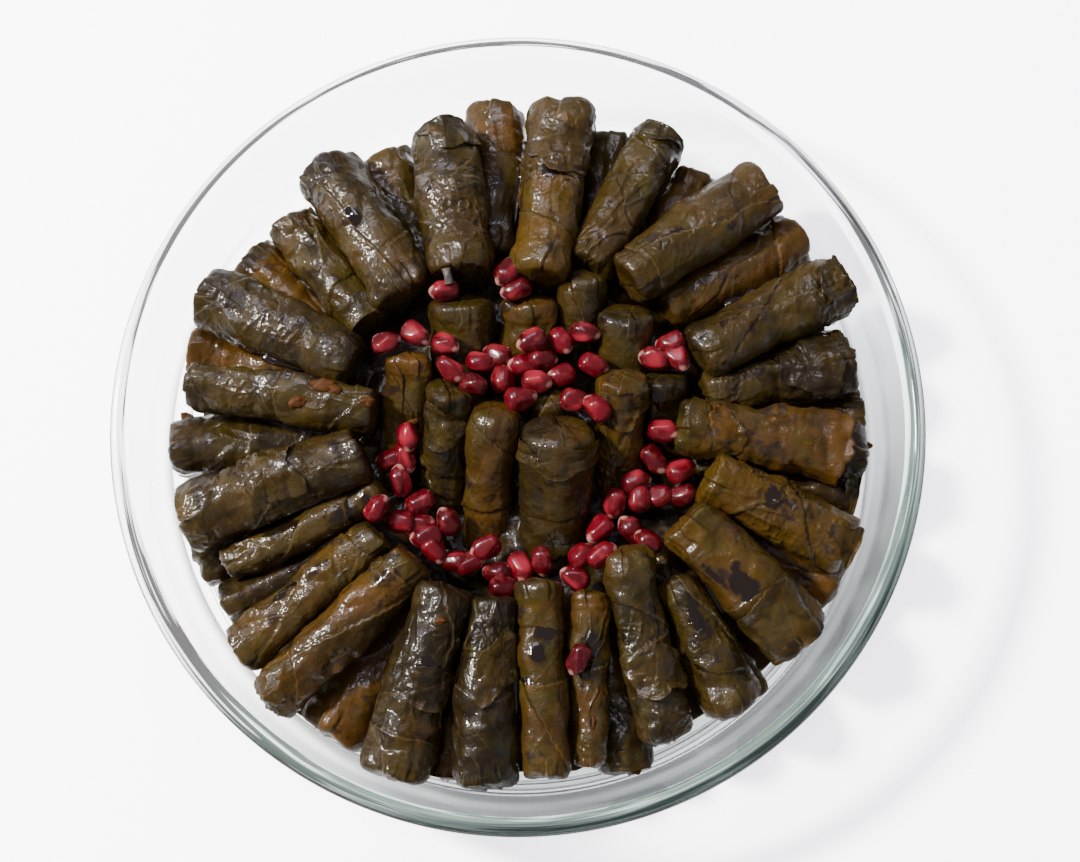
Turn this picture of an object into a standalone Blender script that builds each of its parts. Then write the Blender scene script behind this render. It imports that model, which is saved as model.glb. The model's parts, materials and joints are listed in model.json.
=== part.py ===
"""A round clear glass dish packed with stuffed vine-leaf rolls and pomegranate seeds.

The dish is lathed. The rolls lie in two rings that point at the middle, with more of
them leaning in the middle. Where two pieces press together each stays on its own side
of the flat plane between them, so neighbours look squeezed and keep a thin gap.
Sizes are millimetres until a mesh is made.
"""

import math

import bmesh
import bpy
import numpy as np

MM = 0.001
SEED = 11

# Dish
RIM_RADIUS = 150
RIM_HEIGHT = 55
FLOOR = 5
BASE_RADIUS = 130
DISH_STEPS = 60
INNER_SIDE = [(0, FLOOR), (125, FLOOR), (134, 10), (138, 22), (143, 48)]
RIM_BEAD = [(144.5, 54), (147, RIM_HEIGHT), (149.5, 53.5), (RIM_RADIUS, 51), (148, 47.5)]
OUTER_SIDE = [(142.5, 22), (139, 10), (BASE_RADIUS, 0), (0, 0)]

# Fit between pieces
HALF_GAP = 0.2
WALL_GAP = 0.6

# Rolls
ROLL_SIDES = 11
ROLL_RINGS = 8
BLUNTNESS = 0.30
FULLNESS = 1.07
FLATNESS = 0.94
CORE_INSET = 0.7

# Each roll: outer end x, y, z, inner end x, y, z, outer width, inner width, leaf tone
UPPER_ROLLS = [
    (19, 127, 33, 8, 56, 45, 31, 25, "olive"),
    (-29, 118, 33, -21, 57, 44, 26, 25, "dark"),
    (-75, 104, 33, -43, 49, 42, 26, 26, "dark"),
    (-89, 84, 24, -56, 40, 35, 22, 23, "olive"),
    (-120, 53, 33, -60, 24, 41, 26, 24, "dark"),
    (-124, 18, 32, -53, 6, 40, 23, 22, "olive"),
    (-125, -34, 33, -57, -11, 41, 28, 24, "olive"),
    (-110, -50, 27, -50, -25, 36, 19, 18, "dark"),
    (-104, -83, 32, -51, -40, 40, 20, 19, "olive"),
    (-92, -101, 33, -38, -49, 42, 22, 23, "golden"),
    (-45, -128, 33, -26, -60, 42, 28, 23, "olive"),
    (-12, -132, 33, -9, -64, 41, 25, 22, "dark"),
    (10, -129, 33, 7, -58, 42, 18, 22, "golden"),
    (27, -125, 31, 27, -62, 40, 14, 15, "golden"),
    (55, -116, 33, 38, -46, 43, 22, 24, "olive"),
    (80, -104, 31, 58, -56, 38, 25, 20, "olive"),
    (103, -81, 32, 60, -35, 44, 31, 28, "olive"),
    (123, -44, 33, 70, -19, 42, 24, 23, "olive"),
    (129, -9, 33, 59, -1, 42, 22, 23, "golden"),
    (126, 28, 28, 70, 16, 33, 29, 21, "dark"),
    (122, 57, 33, 67, 26, 42, 25, 22, "dark"),
    (109, 79, 20, 55, 47, 34, 26, 18, "golden"),
    (96, 95, 33, 40, 55, 44, 28, 24, "dark"),
    (56, 116, 32, 27, 61, 42, 26, 20, "dark"),
]
LOWER_ROLLS = [
    (39, 121, 18, 25, 61, 17, 25, 22, "dark"),
    (-9, 133, 20, -11, 72, 20, 27, 23, "golden"),
    (-54, 114, 18, -33, 57, 17, 26, 22, "dark"),
    (-106, 72, 19, -58, 31, 19, 25, 22, "golden"),
    (-127, 36, 18, -65, 19, 17, 22, 21, "golden"),
    (-133, -5, 19, -71, 2, 18, 26, 20, "dark"),
    (-122, -48, 18, -65, -26, 17, 24, 21, "dark"),
    (-111, -64, 18, -54, -36, 17, 24, 21, "dark"),
    (-71, -113, 18, -35, -61, 17, 27, 22, "golden"),
    (-27, -128, 18, -16, -65, 17, 22, 21, "golden"),
    (40, -126, 18, 30, -63, 17, 23, 21, "dark"),
    (86, -102, 18, 49, -48, 17, 24, 21, "olive"),
    (119, -58, 19, 64, -25, 19, 23, 22, "golden"),
    (127, -24, 18, 67, -9, 17, 24, 22, "dark"),
    (132, 12, 18, 67, 10, 17, 26, 22, "golden"),
    (71, 105, 18, 41, 51, 18, 27, 22, "golden"),
]
MIDDLE_ROLLS = [
    (-22, 49, 42, -22, 2, 14, 25, 22, "olive"),
    (4, 49, 43, 4, 2, 14, 23, 22, "golden"),
    (24, 60, 43, 26, 14, 14, 21, 21, "dark"),
    (40, 45, 44, 38, 0, 14, 23, 22, "olive"),
    (-41, 28, 48, -46, -20, 14, 21, 20, "golden"),
    (-25, 14, 50, -30, -33, 14, 22, 21, "olive"),
    (-8, 5, 51, -13, -43, 13, 20, 22, "golden"),
    (15, -2, 53, 12, -47, 13, 29, 28, "olive"),
    (10, 12, 44, 13, -11, 12, 17, 17, "dark"),
    (38, 18, 50, 36, -26, 14, 24, 22, "golden"),
    (55, 19, 42, 56, -23, 13, 20, 20, "dark"),
]

# Pomegranate seeds: x, y, z and the heading of the long way in degrees
SEED_LONG = 11.6
SEED_WIDE = 9.2
SEED_SIDES = 5
SEED_RINGS = 4
BALL_RADIUS = 7.5
BALL_SIDES = 5
BALL_RINGS = 3
SEED_HEAPS = {
    "seeds_back": [
        (-49, 30, 51, 30), (-38, 34, 48, -30), (-27, 30, 48, -15), (-25, 20, 51, -50),
        (-14, 24, 45, 0), (-17, 14, 51, -30), (-8, 27, 44, -30), (-6, 18, 44, 90),
        (5, 31, 49, 20), (2, 23, 45, 0), (9, 25, 45, 0), (7, 16, 47, 0),
        (16, 19, 44, 20), (16, 32, 45, -60), (25, 35, 45, 0), (28, 22, 48, -10),
        (1, 9, 50, 20), (21, 9, 47, 0), (29, 5, 52, -50),
    ],
    "seeds_right": [
        (54, -2, 44, -10), (51, -12, 38, -55), (61, -16, 38, 30), (44, -20, 38, 0),
        (45, -26, 38, -80), (53, -25, 36, 0), (61, -25, 36, 0), (36, -28, 36, 80),
        (30, -38, 36, 60), (42, -38, 36, -40), (48, -43, 40, -40), (24, -48, 39, 40),
        (31, -48, 42, 20), (21, -56, 38, -20),
    ],
    "seeds_front": [
        (9, -50, 37, -80), (1, -52, 36, 90), (-5, -60, 39, -20), (-8, -54, 36, 0),
        (-12, -45, 38, 20), (-18, -50, 36, 10), (-23, -50, 36, 0),
    ],
    "seeds_left": [
        (-31, -46, 38, -60), (-34, -41, 38, 0), (-26, -35, 38, -60), (-37, -28, 37, 30),
        (-37, -36, 35, 0), (-44, -35, 37, -10), (-52, -31, 44, 40), (-44, -20, 39, 90),
        (-42, -11, 38, -60), (-48, -12, 37, 0), (-41, -4, 42, -80),
    ],
    "seed_single_back": [(-28, 51, 47, 0)],
    "seeds_pair_back": [(-4, 58, 48, 60), (-1, 51, 48, 15)],
    "seeds_trio_right": [(51, 26, 43, -10), (57, 32, 43, 0), (60, 26, 44, -55)],
    "seed_single_front": [(22, -87, 46, 70)],
}
# Balls of packed seeds hidden under each heap: x, y, z
HIDDEN_BALLS = {
    "seeds_back": [
        (-44, 31, 45), (-33, 31, 44), (-23, 24, 44), (-12, 20, 41), (-2, 22, 39),
        (8, 23, 40), (15, 26, 40), (24, 28, 41), (22, 17, 41), (25, 8, 45), (3, 14, 43),
    ],
    "seeds_right": [
        (54, -7, 39), (56, -17, 32), (48, -23, 31), (40, -30, 32),
        (37, -37, 32), (31, -43, 33), (25, -50, 33),
    ],
    "seeds_front": [(6, -52, 31), (-3, -54, 31), (-14, -49, 31), (-20, -49, 31)],
    "seeds_left": [
        (-46, -12, 32), (-43, -20, 32), (-41, -29, 31), (-33, -38, 32), (-48, -32, 37),
    ],
}

LEAF_TONES = {
    "olive": (0.075, 0.062, 0.018),
    "dark": (0.045, 0.038, 0.020),
    "golden": (0.130, 0.070, 0.014),
}


def clear_scene():
    for obj in list(bpy.data.objects):
        bpy.data.objects.remove(obj, do_unlink=True)


def material(name, colour, roughness, transmission=0.0, ior=1.45):
    made = bpy.data.materials.new(name)
    made.use_nodes = True
    shader = made.node_tree.nodes["Principled BSDF"]
    shader.inputs["Base Color"].default_value = (*colour, 1.0)
    shader.inputs["Roughness"].default_value = roughness
    shader.inputs["Transmission Weight"].default_value = transmission
    shader.inputs["IOR"].default_value = ior
    return made


def add_object(name, mesh, finish, home):
    obj = bpy.data.objects.new(name, mesh)
    mesh.materials.append(finish)
    home.objects.link(obj)
    return obj


def glass_dish(home, finish):
    """The profile runs from the middle of the floor, over the rim, down the outside."""
    profile = INNER_SIDE + RIM_BEAD + OUTER_SIDE
    mesh = bpy.data.meshes.new("glass_dish")
    edges = [(i, i + 1) for i in range(len(profile) - 1)]
    mesh.from_pydata([(x * MM, 0, z * MM) for x, z in profile], edges, [])
    dish = add_object("glass_dish", mesh, finish, home)
    turn = dish.modifiers.new("turn", "SCREW")
    turn.steps = turn.render_steps = DISH_STEPS
    turn.use_merge_vertices = True
    turn.merge_threshold = 0.0001
    return dish


def unit(vector):
    return vector / np.linalg.norm(vector)


def closest_points(first, second):
    """The nearest points of two straight segments, each given by its two ends."""
    p, q = first[0], second[0]
    d, e = first[1] - p, second[1] - q
    dd, ee, de = d @ d, e @ e, d @ e
    gap = p - q
    slope = dd * ee - de * de
    s = np.clip((de * (e @ gap) - ee * (d @ gap)) / slope, 0, 1) if slope > 1e-6 else 0.5
    t = np.clip((de * s + e @ gap) / ee, 0, 1)
    s = np.clip((de * t - d @ gap) / dd, 0, 1)
    return p + s * d, q + t * e


class Piece:
    """A soft piece round a straight core, with its mesh still in millimetres."""

    def __init__(self, name, core, radius, firm):
        self.name = name
        self.core = core
        self.radius = radius
        self.firm = firm

    def centres(self, points):
        start, along = self.core[0], self.core[1] - self.core[0]
        share = np.clip((points - start) @ along / (along @ along), 0, 1)
        return start + share[:, None] * along


def roll_piece(name, row):
    """The core of a roll stops short of both ends, where the end caps bulge from it."""
    outer, inner = np.array(row[0:3], float), np.array(row[3:6], float)
    along = unit(inner - outer)
    core = (outer + along * CORE_INSET * row[6] / 2, inner - along * CORE_INSET * row[7] / 2)
    piece = Piece(name, core, (row[6] + row[7]) / 4, True)
    piece.row = row
    return piece


def seed_piece(name, place, radius, half_length=0.0):
    middle = np.array(place[:3], float)
    turn = math.radians(place[3]) if len(place) > 3 else 0.0
    reach = np.array([math.cos(turn), math.sin(turn), 0.0]) * max(half_length, 0.1)
    piece = Piece(name, (middle - reach, middle + reach), radius, False)
    piece.middle, piece.turn = middle, turn
    return piece


def planes_between(piece, others):
    """For each near neighbour, the plane between the two cores and its outward normal."""
    found = []
    for other in others:
        if other.name == piece.name:
            continue
        mine, theirs = closest_points(piece.core, other.core)
        distance = np.linalg.norm(theirs - mine)
        if distance > (piece.radius + other.radius) * 1.35:
            continue
        normal = (theirs - mine) / distance
        share = piece.radius / (piece.radius + other.radius)
        if piece.firm and not other.firm:
            share = min(piece.radius, distance - 0.55 * other.radius) / distance
        if other.firm and not piece.firm:
            share = 1 - min(other.radius, distance - 0.55 * piece.radius) / distance
        found.append((mine + normal * distance * share, normal))
    return found


def rein_in(piece, points, others):
    """Pulls points towards the core until they are clear of neighbours, floor and wall."""
    centres = piece.centres(points)
    planes = planes_between(piece, others)
    planes.append((np.array([0.0, 0.0, FLOOR]), np.array([0.0, 0.0, -1.0])))
    for origin, normal in planes:
        ahead = (points - origin) @ normal
        room = (centres - origin) @ normal
        over = ahead > -HALF_GAP
        share = np.where(over, (-HALF_GAP - room) / np.where(over, ahead - room, 1), 1)
        points = centres + (points - centres) * share[:, None]
    heights = [z for _, z in INNER_SIDE[1:]]
    radii = [x for x, _ in INNER_SIDE[1:]]
    for _ in range(30):
        limit = np.interp(points[:, 2], heights, radii) - WALL_GAP
        past = np.hypot(points[:, 0], points[:, 1]) > limit
        points[past] = centres[past] + 0.95 * (points[past] - centres[past])
    return points


def ball_points(sides, rings):
    """A unit ball as a bmesh, and its points as an array."""
    ball = bmesh.new()
    bmesh.ops.create_uvsphere(ball, u_segments=sides, v_segments=rings, radius=1)
    return ball, np.array([vert.co for vert in ball.verts])


def finish_mesh(name, ball, points):
    """Writes the points back and makes the mesh, now in metres and all triangles."""
    for vert, point in zip(ball.verts, points):
        vert.co = point * MM
    bmesh.ops.triangulate(ball, faces=ball.faces)
    bmesh.ops.recalc_face_normals(ball, faces=ball.faces)
    mesh = bpy.data.meshes.new(name)
    ball.to_mesh(mesh)
    ball.free()
    return mesh


def roll_mesh(piece, others, random):
    """A blunt, slightly bent and uneven roll."""
    outer, inner = np.array(piece.row[0:3], float), np.array(piece.row[3:6], float)
    outer_wide, inner_wide = piece.row[6:8]
    along = unit(inner - outer)
    side = unit(np.cross(along, [0.0, 0.0, 1.0]))
    up = np.cross(side, along)
    ball, flat = ball_points(ROLL_SIDES, ROLL_RINGS)
    height = flat[:, 2]
    around = np.arctan2(flat[:, 1], flat[:, 0])
    lengthwise = np.sign(height) * np.abs(height) ** BLUNTNESS
    across = np.hypot(flat[:, 0], flat[:, 1]) ** BLUNTNESS
    phase = random.uniform(0, 2 * math.pi, 4)
    lumps = 1 + 0.04 * np.sin(2 * around + phase[0]) + 0.03 * np.sin(3 * around + phase[1])
    lumps += 0.04 * np.sin(3 * lengthwise + phase[2])
    share = (lengthwise + 1) / 2
    radius = (outer_wide * (1 - share) + inner_wide * share) / 2 * across * lumps * FULLNESS
    bend = random.uniform(-1.4, 1.4) * (1 - lengthwise**2)
    points = outer + (inner - outer) * share[:, None]
    points += side * (radius * np.cos(around) + bend)[:, None]
    points += up * (radius * np.sin(around) * FLATNESS)[:, None]
    return finish_mesh(piece.name, ball, rein_in(piece, points, others))


def seed_mesh(piece, others):
    """A drop-shaped pomegranate seed, narrower towards one end."""
    ball, flat = ball_points(SEED_SIDES, SEED_RINGS)
    wide = SEED_WIDE / 2 * (1 - 0.18 * flat[:, 2])
    along = np.array([math.cos(piece.turn), math.sin(piece.turn), 0.0])
    side = np.array([-along[1], along[0], 0.0])
    points = piece.middle + along * (flat[:, 2] * SEED_LONG / 2)[:, None]
    points += side * (flat[:, 0] * wide)[:, None]
    points[:, 2] += flat[:, 1] * wide
    return finish_mesh(piece.name, ball, rein_in(piece, points, others))


def ball_mesh(piece, others):
    ball, flat = ball_points(BALL_SIDES, BALL_RINGS)
    points = piece.middle + flat * piece.radius
    return finish_mesh(piece.name, ball, rein_in(piece, points, others))


def fused(name, meshes, finish, home):
    """Joins overlapping meshes into one body."""
    kept = add_object(name, meshes[0], finish, home)
    if len(meshes) == 1:
        return kept
    extras = bpy.data.collections.new(name + "_extras")
    bpy.context.scene.collection.children.link(extras)
    extras.hide_render = True
    for index, mesh in enumerate(meshes[1:]):
        extra = add_object(f"{name}_extra_{index}", mesh, finish, extras)
        extra.display_type = "WIRE"
        extra.hide_render = True
    union = kept.modifiers.new("union", "BOOLEAN")
    union.operation = "UNION"
    union.solver = "EXACT"
    union.operand_type = "COLLECTION"
    union.collection = extras
    bpy.context.view_layer.update()
    graph = bpy.context.evaluated_depsgraph_get()
    kept.data = bpy.data.meshes.new_from_object(kept.evaluated_get(graph))
    kept.modifiers.clear()
    for extra in list(extras.objects):
        bpy.data.objects.remove(extra, do_unlink=True)
    bpy.data.collections.remove(extras)
    return kept


def all_rolls():
    rings = (("upper_roll", UPPER_ROLLS), ("lower_roll", LOWER_ROLLS), ("middle_roll", MIDDLE_ROLLS))
    return [
        roll_piece(f"{ring}_{number:02d}", row)
        for ring, rows in rings
        for number, row in enumerate(rows, 1)
    ]


def all_seeds():
    """Every seed and hidden ball, named for the heap that it belongs to."""
    half = (SEED_LONG - SEED_WIDE) / 2
    seeds = {name: [seed_piece(name, place, SEED_WIDE / 2, half) for place in places]
             for name, places in SEED_HEAPS.items()}
    balls = {name: [seed_piece(name, place, BALL_RADIUS) for place in places]
             for name, places in HIDDEN_BALLS.items()}
    return seeds, balls


def main():
    clear_scene()
    random = np.random.default_rng(SEED)
    home = bpy.data.collections.new("stuffed_leaf_dish")
    bpy.context.scene.collection.children.link(home)
    glass_dish(home, material("glass", (0.93, 0.97, 0.95), 0.03, 1.0, 1.5))
    leaves = {tone: material("leaf_" + tone, colour, 0.35) for tone, colour in LEAF_TONES.items()}
    red = material("aril", (0.36, 0.012, 0.018), 0.12, 0.2, 1.4)
    rolls = all_rolls()
    seeds, balls = all_seeds()
    soft = [piece for group in (seeds, balls) for pieces in group.values() for piece in pieces]
    pieces = rolls + soft
    for roll in rolls:
        add_object(roll.name, roll_mesh(roll, pieces, random), leaves[roll.row[8]], home)
    for name in SEED_HEAPS:
        hidden = [ball_mesh(piece, pieces) for piece in balls.get(name, [])]
        shown = [seed_mesh(piece, pieces) for piece in seeds[name]]
        fused(name, hidden + shown, red, home)


main()
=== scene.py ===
# %% [markdown]
# A round glass dish of stuffed vine leaves, dressed over its CAD frame.
# The frame holds one plain solid for every roll, every heap of pomegranate seeds and
# the dish. Here each plain solid is measured and a finer surface is worked out over it.

# %% Load the frame
import bpy
import json
import math
import numpy as np
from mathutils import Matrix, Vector


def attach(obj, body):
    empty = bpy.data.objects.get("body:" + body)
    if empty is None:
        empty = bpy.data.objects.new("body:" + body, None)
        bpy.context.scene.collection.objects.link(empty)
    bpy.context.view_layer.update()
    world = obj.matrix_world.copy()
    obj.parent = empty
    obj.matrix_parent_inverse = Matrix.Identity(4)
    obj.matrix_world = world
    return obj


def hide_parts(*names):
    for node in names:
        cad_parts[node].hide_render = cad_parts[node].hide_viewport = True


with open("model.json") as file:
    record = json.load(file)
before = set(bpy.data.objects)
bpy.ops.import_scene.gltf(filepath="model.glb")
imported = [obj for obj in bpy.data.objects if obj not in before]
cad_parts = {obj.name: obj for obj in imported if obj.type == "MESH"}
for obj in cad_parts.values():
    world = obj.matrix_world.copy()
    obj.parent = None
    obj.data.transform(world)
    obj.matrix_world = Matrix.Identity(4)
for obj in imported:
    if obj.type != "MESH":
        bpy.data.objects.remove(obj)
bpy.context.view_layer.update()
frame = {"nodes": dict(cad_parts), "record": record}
nodes = frame["nodes"]
slot_of = {part["node"]: part["material_slot"] for part in frame["record"]["subparts"]}
MM = 0.001

# %% [markdown]
# Cooked leaves are dented and creased everywhere, and no two creases are alike. Such
# unevenness comes from smooth noise: random numbers on a lattice, blended between its
# points. Layers of it at halving sizes give dents, then creases, then grain.

# %% Smooth noise
TABLE_SIZE = 8192
SCRAMBLE = (73856093, 19349663, 83492791)


def soft_noise(places, seed):
    """Random numbers at the corners of unit cells, blended by the smooth step
    3t^2 - 2t^3 along each axis, at an array of places of any length."""
    table = np.random.default_rng(seed).uniform(-1, 1, TABLE_SIZE)
    cell = np.floor(places).astype(np.int64)
    part = places - cell
    part = part * part * (3 - 2 * part)
    total = np.zeros(places.shape[:-1])
    for corner in range(8):
        bits = np.array([corner & 1, corner >> 1 & 1, corner >> 2 & 1])
        mixed = (cell + bits) * SCRAMBLE
        key = mixed[..., 0] ^ mixed[..., 1] ^ mixed[..., 2]
        weight = np.prod(np.where(bits == 1, part, 1 - part), axis=-1)
        total += table[key & (TABLE_SIZE - 1)] * weight
    return total


def layered_noise(places, seed, layers=3):
    """The sum of layers of smooth noise, each at half the last one's pitch and half
    its height."""
    return sum(soft_noise(places * 2**k, seed + k) * 0.5**k for k in range(layers))


def ease(low, high, value):
    """The smooth step from 0 at low to 1 at high."""
    t = np.clip((value - low) / (high - low), 0, 1)
    return t * t * (3 - 2 * t)


print("noise at two places:", soft_noise(np.array([[0.5, 0.2, 0.1], [3.1, 2, 1]]), 1).round(3))

# %% [markdown]
# Every piece here is a surface on a grid of rows and columns. One helper turns such a
# grid into a mesh. The columns close on themselves, and the first and last rows each
# meet in a single point, so that the skin has no hole.

# %% From a grid to a mesh


def tube_faces(count, around):
    """Corner numbers of a closed tube: a quad between neighbouring rows and columns,
    and a fan of triangles from each end point. The start is point 0, the end is last."""
    index = 1 + np.arange(count * around).reshape(count, around)
    beside = np.roll(index, -1, axis=1)
    quads = np.stack([index[:-1], index[1:], beside[1:], beside[:-1]], axis=-1).reshape(-1, 4)
    start, end = np.zeros(around, int), np.full(around, 1 + count * around)
    first = np.stack([start, index[0], beside[0]], axis=-1)
    last = np.stack([end, beside[-1], index[-1]], axis=-1)
    return quads, np.concatenate([first, last])


def volume(points, quads, threes):
    """The sum over all triangles of a third of the height times the base, seen from
    the origin. It is negative when the faces point inwards."""
    corners = points[np.concatenate([quads[:, [0, 1, 2]], quads[:, [0, 2, 3]], threes])]
    return np.linalg.det(corners).sum() / 6


def shell(name, points, quads, threes, marks=None):
    """Puts points in millimetres, quads and triangles into a smooth mesh in metres,
    with its faces turned outwards. marks are named numbers at every point, which the
    materials read."""
    mesh = bpy.data.meshes.new(name)
    if volume(points, quads, threes) < 0:
        quads, threes = quads[:, ::-1], threes[:, ::-1]
    corners = np.concatenate([quads.ravel(), threes.ravel()]).astype(np.int32)
    sizes = np.concatenate([np.full(len(quads), 4), np.full(len(threes), 3)])
    starts = np.concatenate([[0], np.cumsum(sizes)[:-1]]).astype(np.int32)
    mesh.vertices.add(len(points))
    mesh.vertices.foreach_set("co", (points * MM).astype(np.float32).ravel())
    mesh.loops.add(len(corners))
    mesh.loops.foreach_set("vertex_index", corners)
    mesh.polygons.add(len(sizes))
    mesh.polygons.foreach_set("loop_start", starts)
    mesh.polygons.foreach_set("use_smooth", np.ones(len(sizes), bool))
    for mark, values in (marks or {}).items():
        layer = mesh.attributes.new(mark, "FLOAT", "POINT")
        layer.data.foreach_set("value", np.asarray(values, np.float32).ravel())
    mesh.update(calc_edges=True)
    made = bpy.data.objects.new(name, mesh)
    bpy.context.scene.collection.objects.link(made)
    return made


def serve(piece, finish, slot, *replaced):
    """Gives a piece its finish, sets it on the dish and hides the nodes it stands for."""
    piece.data.materials.append(finish)
    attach(piece, "root")
    if replaced:
        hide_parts(*replaced)
    return piece


print("a tube of 3 rows of 4 points has", sum(map(len, tube_faces(3, 4))), "faces")

# %% [markdown]
# To lay a leaf over a roll, the plain solid is measured first. Rays go out from points
# inside it to its faces, and the distances make a small map of the solid. A blur takes
# away the edges of its flat faces.

# %% Measure a plain solid


def triangles_of(node):
    """The node's triangles as an array of corners, in millimetres."""
    mesh = node.data
    mesh.calc_loop_triangles()
    points = np.empty(len(mesh.vertices) * 3, np.float32)
    mesh.vertices.foreach_get("co", points)
    index = np.empty(len(mesh.loop_triangles) * 3, np.int32)
    mesh.loop_triangles.foreach_get("vertices", index)
    return (points.reshape(-1, 3) / MM)[index].reshape(-1, 3, 3).astype(float)


def ray_lengths(starts, directions, triangles):
    """How far each ray goes to the face that it leaves by: where the ray meets each
    triangle's plane, kept if that point lies inside the triangle."""
    corner = triangles[:, 0]
    side_a, side_b = triangles[:, 1] - corner, triangles[:, 2] - corner
    across = np.cross(directions[:, None], side_b[None])
    scale = (side_a * across).sum(-1)
    scale = np.where(np.abs(scale) < 1e-9, 1e-9, scale)
    gap = starts[:, None] - corner
    u = (gap * across).sum(-1) / scale
    turned = np.cross(gap, side_a[None])
    v = (directions[:, None] * turned).sum(-1) / scale
    length = (side_b * turned).sum(-1) / scale
    inside = (u > -1e-3) & (v > -1e-3) & (u + v < 1.002) & (length > 0)
    return np.where(inside, length, 0).max(axis=1)


def blurred(field, passes):
    """Each value mixed with its neighbours, two parts of its own to one of either
    side, several times over. Columns wrap round, and rows stop at the ends."""
    for _ in range(passes):
        field = (np.roll(field, 1, 1) + 2 * field + np.roll(field, -1, 1)) / 4
        padded = np.concatenate([field[:1], field, field[-1:]])
        field = (padded[:-2] + 2 * field + padded[2:]) / 4
    return field


print("one roll has", len(triangles_of(nodes["upper_roll_01"])), "triangles")

# %% [markdown]
# Every place on a roll gets two numbers: the way over its skin from the middle of its
# outer end, and the angle round it. They unroll the skin, so that leaves, veins and
# syrup can be laid out flat. The roll is treated as a straight body with two domed
# ends, over which the rays fan out.

# %% Where a roll lies
MAP_ROWS, MAP_COLUMNS = 56, 48
BODY_SHARE = 0.86
CAP_SHARE = 0.75
ARC_SHARE = 1.55


class Roll:
    """A roll's centre line, size and map. s is the way over the skin in millimetres
    from the middle of its outer end to that of its inner end, and turn is the angle
    from its top, to the right as seen from outside the dish."""

    def __init__(self, name):
        self.name = name
        self.triangles = triangles_of(nodes[name])
        corners = self.triangles.reshape(-1, 3)
        middle = corners.mean(0)
        self.along = np.linalg.svd(corners - middle, full_matrices=False)[2][0]
        outwards = self.along[2] if name.startswith("middle") else self.along[:2] @ middle[:2]
        if outwards > 0:
            self.along = -self.along
        self.side = np.cross(self.along, [0, 0, 1.0])
        self.side /= np.linalg.norm(self.side)
        self.up = np.cross(self.side, self.along)
        reach = (corners - middle) @ self.along
        from_line = corners - middle - reach[:, None] * self.along
        self.radius = float(np.linalg.norm(from_line, axis=1).max()) * BODY_SHARE
        self.cap = CAP_SHARE * self.radius
        self.arc = ARC_SHARE * self.radius
        self.start = middle + self.along * (reach.min() + self.cap)
        self.straight = reach.max() - reach.min() - 2 * self.cap
        self.reach = 2 * self.arc + self.straight
        self.measure()

    def rays(self, s, turn):
        """A ray's start on the centre line and its direction. Over the body it points
        straight out, and over an end cap it swings through a quarter turn."""
        outer = np.clip((self.arc - s) / self.arc, 0, 1) * np.pi / 2
        inner = np.clip((s - self.arc - self.straight) / self.arc, 0, 1) * np.pi / 2
        lean = (np.sin(inner) - np.sin(outer))[..., None]
        spread = (np.cos(inner) * np.cos(outer))[..., None]
        starts = self.start + np.clip(s - self.arc, 0, self.straight)[..., None] * self.along
        around = np.sin(turn)[..., None] * self.side + np.cos(turn)[..., None] * self.up
        return starts, lean * self.along + spread * around

    def measure(self):
        """Fills the map with the lengths of rays. A ray that finds no face gets the
        middle value of all lengths."""
        s = np.linspace(0, self.reach, MAP_ROWS)
        turn = np.linspace(-np.pi, np.pi, MAP_COLUMNS, endpoint=False)
        s, turn = np.meshgrid(s, turn, indexing="ij")
        starts, directions = self.rays(s, turn)
        found = ray_lengths(starts.reshape(-1, 3), directions.reshape(-1, 3), self.triangles)
        found = found.reshape(s.shape)
        found[0], found[-1] = found[0].max(), found[-1].max()
        self.plain = np.where(found > 0.2 * self.radius, found, np.median(found))
        self.soft = blurred(self.plain, 2)

    def read(self, field, s, turn):
        """A map's value anywhere, by straight blending between its four nearest."""
        row = np.clip(s / self.reach, 0, 1) * (MAP_ROWS - 1)
        column = (turn + np.pi) / (2 * np.pi) * MAP_COLUMNS
        low, left = np.minimum(row.astype(int), MAP_ROWS - 2), np.floor(column).astype(int)
        down, across = row - low, column - left
        left, right = left % MAP_COLUMNS, (left + 1) % MAP_COLUMNS
        above = field[low, left] * (1 - across) + field[low, right] * across
        below = field[low + 1, left] * (1 - across) + field[low + 1, right] * across
        return above * (1 - down) + below * down

    def place(self, share, turn_degrees):
        """s and the way round in millimetres of a spot given by its share of the length."""
        return share * self.reach, math.radians(turn_degrees) * self.radius


rolls = {name: Roll(name) for name in sorted(nodes) if "_roll_" in name}
lengths = [roll.straight + 2 * roll.cap for roll in rolls.values()]
print("rolls:", len(rolls), "mean length", round(float(np.mean(lengths)), 1), "mm")

# %% [markdown]
# A vine leaf has a toothed margin and five main veins that fan out from its stalk, each
# with oblique side veins. Wrapped round a roll, the margin is a low step, and the veins
# are fine raised lines. Both are worked out on the unrolled skin, as distances in
# millimetres. A distance stays true between the points of a grid, so that the material
# can draw a line from it that is finer than the grid.

# %% Margins and veins
TOOTH, TOOTH_DEPTH = 4.2, 1.1
WAVE, WAVE_DEPTH = 13, 3.2
VEIN_FAN = np.radians([-92, -44, 0, 44, 92])
VEIN_BOW = 0.004
SIDE_VEIN_SLOPE = math.radians(48)


def margin_distance(s, q, place, facing, seed):
    """How far a spot lies inside a leaf whose margin passes through place. It is the
    distance from a straight line, plus a slow wave and saw teeth along that line.
    facing is where the leaf lies: 0 towards the inner end, 90 to the right."""
    ahead, across = math.cos(math.radians(facing)), math.sin(math.radians(facing))
    inside = (s - place[0]) * ahead + (q - place[1]) * across
    line = -(s - place[0]) * across + (q - place[1]) * ahead
    flat = np.stack([line / WAVE, np.zeros_like(line), np.full_like(line, seed * 0.37)], axis=-1)
    tooth = np.abs((line / TOOTH + soft_noise(flat * 3, seed)) % 1 - 0.5)
    return inside + WAVE_DEPTH * soft_noise(flat, seed + 1) + TOOTH_DEPTH * tooth


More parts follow.
